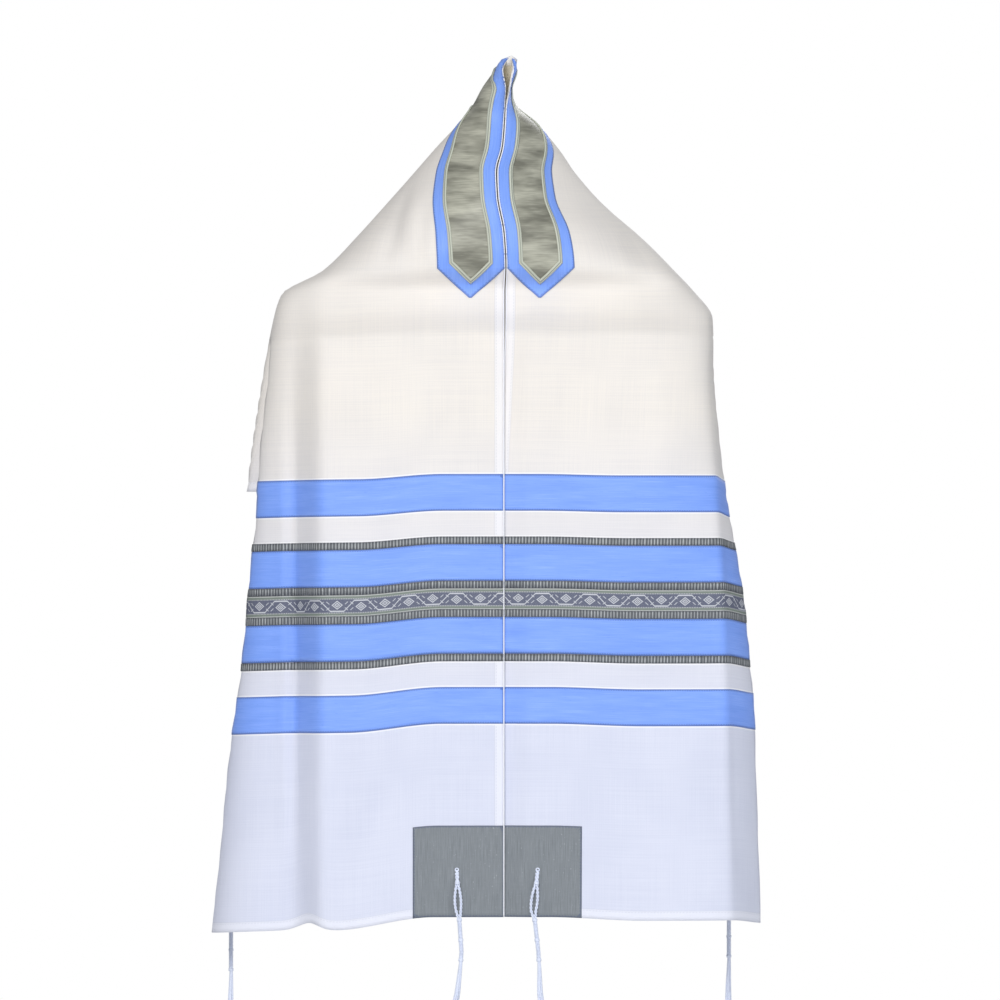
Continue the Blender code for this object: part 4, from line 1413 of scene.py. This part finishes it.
def jacquard(name):
    """Ribbon with diamonds, an angular wave and a beaded strip along both edges."""
    finish = Finish(name)
    along, across = finish.cut()
    up = RIBBON_CENTRE - abs(along)
    cell = (across / MOTIF_PITCH + 0.5).fraction() - 0.5
    pair = (across / (2 * MOTIF_PITCH) + 0.5).fraction()
    swing = 1 - abs(pair - 0.5) * 4
    aside = cell * MOTIF_PITCH
    wave = (swing * WAVE_STEEPNESS).held(-1.0, 1.0) * WAVE_HEIGHT
    lifted = up + (swing * 20).held(-1.0, 1.0) * 0.8
    diamond = abs(aside) / DIAMOND_HALF_WIDTH + abs(lifted) / DIAMOND_HALF_HEIGHT
    rings = diamond.line(0.92, 0.08, 0.12).high(diamond.line(0.44, 0.07, 0.12))
    dot = 1 - diamond.rise(0.10, 0.22)
    wave_line = (up - wave).line(0.0, 0.50, 0.35)
    crossing = abs(abs(aside) - MOTIF_PITCH / 2)
    barb_place = abs(abs(up) - 3.1) + abs(crossing - 3.0) * 0.25
    barb = (abs(up) + crossing * 0.9 - 5.6).line(0.0, 0.40, 0.3) * (1 - barb_place.rise(1.4, 2.0))
    figure = rings.high(dot).high(wave_line).high(barb * 0.9)
    speckle = finish.grain(across * 1.9, along * 1.9, 1.0)
    ground = finish.mix(speckle.rise(0.42, 0.60), srgb(74, 80, 108), srgb(120, 124, 138))
    threads = finish.grain(across * 3.5, along * 1.0, 1.0)
    pale = finish.mix(threads.rise(0.3, 0.6), srgb(182, 186, 196), srgb(212, 215, 222))
    colour = finish.mix(figure * 0.92, ground, pale)
    out = abs(up)
    strip = out.line(GREEN_STRIP, 1.05, 0.3)
    beads = (across / BEAD_PITCH).fraction().line(0.5, 0.24, 0.1)
    colour = finish.mix(strip, colour, srgb(124, 134, 128))
    bead_row = out.line(BEAD_LINE, 0.35, 0.3) * beads
    colour = finish.mix(bead_row * 0.8, colour, srgb(196, 200, 198))
    pale_line = out.line(PALE_LINE, 0.4, 0.3)
    colour = finish.mix(pale_line * 0.85, colour, srgb(208, 212, 210))
    relief = figure * 0.7 + pale_line * 0.8 + threads * 0.3
    finish.set(
        Base_Color=colour, Roughness=0.62, Specular_IOR_Level=0.35,
        Normal=finish.bump(relief, 0.25 * MM),
    )
    return finish


ribbon_weave = jacquard("woven_ribbon")
ribbon_weave.wear(strips["ribbon"])

# %% [markdown]
# ## Finishes of the patches, the neckband panel and the braid
# The patches are grey silk with fine threads running down and a zigzag stitch along the edge.
# The panel is a smoother grey silk with a painted sheen: uneven lighter and darker areas across
# it. The braid round it is pale, with a groove along its middle that holds a painted shade.


# %% Weave the greys
BRAID_GROOVE = 2.1
PLAIT_PITCH = 1.7


def patch_silk(name):
    """Grey silk with threads running down, a few specks and a zigzag stitch."""
    finish = Finish(name)
    along, across = finish.cut()
    down = finish.grain(along * 0.035, across * 1.5, 4.0, 0.7)
    level = finish.grain(along * 1.3, across * 0.05, 3.0, 0.6)
    specks = finish.grain(along * 0.42, across * 0.9, 1.0)
    colour = finish.mix(down.rise(0.34, 0.66), srgb(110, 116, 122), srgb(138, 144, 150))
    colour = finish.mix(level.rise(0.42, 0.66) * 0.25, colour, srgb(112, 119, 126))
    colour = finish.mix(specks.rise(0.72, 0.78) * 0.7, colour, srgb(190, 196, 200))
    edge = finish.edge()
    zigzag = abs(((along + across) / 3.2).fraction() - 0.5) * 2.4
    stitches = (edge - zigzag - 0.6).line(0.0, 0.32, 0.25)
    # Darker along each edge
    darker_edge = 1 - edge.rise(0.2, 0.9)
    colour = finish.mix(darker_edge * 0.55, colour, srgb(64, 76, 108))
    colour = finish.mix(stitches * 0.65, colour, srgb(84, 98, 130))
    relief = down * 0.7 + level * 0.3 + stitches * 0.6
    finish.set(
        Base_Color=colour, Roughness=0.55, Specular_IOR_Level=0.35,
        Normal=finish.bump(relief, 0.16 * MM),
    )
    return finish


def panel_silk(name):
    """Smooth grey silk with a painted sheen in uneven lighter and darker areas."""
    finish = Finish(name)
    along, across = finish.cut()
    sheen_zones = finish.grain(along * 0.055, across * 0.012, 3.0, 0.6)
    threads = finish.grain(along * 1.4, across * 0.04, 3.0, 0.6)
    # Painted sheen: wide areas of the silk go lighter and darker
    colour = finish.mix(sheen_zones.rise(0.38, 0.62), srgb(118, 118, 107), srgb(188, 188, 173))
    colour = finish.mix(threads.rise(0.40, 0.64) * 0.45, colour, srgb(112, 112, 102))
    colour = finish.mix((1 - threads.rise(0.28, 0.42)) * 0.5, colour, srgb(182, 182, 169))
    finish.set(
        Base_Color=colour, Roughness=0.36 + threads * 0.2, Specular_IOR_Level=0.45,
        Normal=finish.bump(threads * 0.8 + sheen_zones * 0.3, 0.14 * MM),
    )
    return finish


def braid_cord(name):
    """Pale plaited braid with a groove along its middle, which holds a painted shade."""
    finish = Finish(name)
    length, over = finish.cut()
    groove = over.line(BRAID_GROOVE, 0.25, 0.35)
    slanted = length + abs(over - BRAID_GROOVE) * 1.2
    plait = (slanted * (2 * pi / PLAIT_PITCH)).sine() * 0.5 + 0.5
    colour = finish.mix(plait * 0.5, srgb(206, 210, 196), srgb(176, 182, 170))
    # Painted shade along the groove
    colour = finish.mix(groove * 0.75, colour, srgb(120, 126, 118))
    finish.set(
        Base_Color=colour, Roughness=0.5,
        Normal=finish.bump(plait * 0.6 - groove * 0.8, 0.3 * MM),
    )
    return finish


patch_weave = patch_silk("patch_silk")
patch_weave.wear(patches)
panel_weave = panel_silk("panel_silk")
panel_weave.wear([panel])
braid_weave = braid_cord("braid_cord")
braid_weave.wear([braid])

# %% [markdown]
# ## Finish of the strings and the piping
# The strings are plied wool. A thread's twist is too fine to show as a pattern from a step
# away, so it is an uneven soft relief on a bluish white.

# %% Finish the strings and the piping
STRAND_SCALE = 900.0


def plied_wool(name, tint, shade):
    """Plied thread between two tints, for the strings and the piping."""
    finish = Finish(name)
    strands = finish.noise(finish.place(), STRAND_SCALE, 3.0, 0.6)
    colour = finish.mix(strands.rise(0.35, 0.65) * 0.6, tint, shade)
    finish.set(
        Base_Color=colour, Roughness=0.9, Specular_IOR_Level=0.2, Sheen_Weight=0.2,
        Normal=finish.bump(strands, 0.3 * MM),
    )
    return finish


string_wool = plied_wool("string_wool", srgb(232, 238, 254), srgb(196, 206, 232))
string_wool.wear(fringes)
piping_cotton = plied_wool("piping_cotton", srgb(250, 251, 255), srgb(226, 230, 244))
piping_cotton.wear(pipings)

# %% [markdown]
# ## The sheet and its pieces
# All that is sewn to the cloth goes with it: every piece rides on the one body of the part.

all_strips = [strip for pieces in strips.values() for strip in pieces]
sewn_on = all_strips + patches + [neckband, panel, braid] + pipings + fringes
for piece in [cloth] + sewn_on:
    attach(piece, "root")
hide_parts("shawl_cloth")
for pieces, slot in (
    ([cloth] + pipings, "cloth"),
    (strips["band"] + [neckband], "blue_silk"),
    (patches, "patch_silk"),
    ([panel, braid], "panel_silk"),
    (strips["trim"], "ribbed_trim"),
    (strips["ribbon"], "woven_ribbon"),
    (fringes, "string"),
):
    for piece in pieces:
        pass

# %% [markdown]
# ## Floor, light and background
# The photograph is cut out on pure white. The world is white to the camera and dimmer as a
# light, and a round pale floor below the fringes fades away towards its rim, so that no edge
# shows in any view. The key light is nearly frontal, from above on the left, so every part of
# the cloth that turns away grows darker.

# %% Lay the floor
FLOOR_HEIGHT = -1.30
FLOOR_RADIUS = 2.2
FADE_FROM = 1.0
FADE_TO = 2.1
bpy.ops.object.select_all(action="DESELECT")
bpy.ops.mesh.primitive_circle_add(
    vertices=64, radius=FLOOR_RADIUS, fill_type="NGON", location=(0, 0, FLOOR_HEIGHT)
)
floor = bpy.context.object
floor.name = "pale_floor"
fading = Finish("pale_floor")
fading.set(Base_Color=(0.93, 0.94, 0.95, 1.0), Roughness=0.9, Specular_IOR_Level=0.1)
from_middle = fading.node(
    "ShaderNodeVectorMath", {"operation": "LENGTH"}, {0: fading.place()}, output="Value"
)
rim = from_middle.rise(FADE_FROM, FADE_TO)
clear = fading.node("ShaderNodeBsdfTransparent", output="BSDF")
faded = fading.node(
    "ShaderNodeMixShader",
    inputs={0: rim, 1: Value(fading, fading.shader.outputs["BSDF"]), 2: clear},
    output="Shader",
)
fading.feed(fading.tree.nodes["Material Output"].inputs["Surface"], faded)
fading.wear([floor])

# %% Light the shawl
BACKDROP_LIGHT = 1.0
WORLD_LIGHT = 0.34
world = bpy.data.worlds.new("studio")
bpy.context.scene.world = world
world.use_nodes = True
sky = world.node_tree
backdrop = sky.nodes["Background"]
backdrop.inputs["Color"].default_value = (1, 1, 1, 1)
backdrop.inputs["Strength"].default_value = BACKDROP_LIGHT
glow = sky.nodes.new("ShaderNodeBackground")
glow.inputs["Color"].default_value = (0.95, 0.97, 1.0, 1)
glow.inputs["Strength"].default_value = WORLD_LIGHT
rays = sky.nodes.new("ShaderNodeLightPath")
chosen = sky.nodes.new("ShaderNodeMixShader")
sky.links.new(rays.outputs["Is Camera Ray"], chosen.inputs[0])
sky.links.new(glow.outputs[0], chosen.inputs[1])
sky.links.new(backdrop.outputs[0], chosen.inputs[2])
sky.links.new(chosen.outputs[0], sky.nodes["World Output"].inputs["Surface"])
bpy.context.scene.view_settings.view_transform = "Standard"


def soft_light(name, place, aim, size, power, colour):
    """A square area light at a place, turned to face its aim."""
    data = bpy.data.lights.new(name, "AREA")
    data.size = size
    data.energy = power
    data.color = colour
    light = bpy.data.objects.new(name, data)
    bpy.context.scene.collection.objects.link(light)
    light.location = place
    direction = Vector(aim) - Vector(place)
    light.rotation_euler = direction.to_track_quat("-Z", "Y").to_euler()


MIDDLE = (0, 0, -0.45)
soft_light("key_front", (-0.6, -3.6, 0.75), MIDDLE, 1.1, 95, (1.0, 0.99, 0.975))
soft_light("fill_right", (2.3, -2.4, -0.1), MIDDLE, 1.8, 20, (0.94, 0.97, 1.0))
soft_light("back_soft", (0.8, 2.8, 0.9), MIDDLE, 1.8, 34, (1.0, 1.0, 1.0))
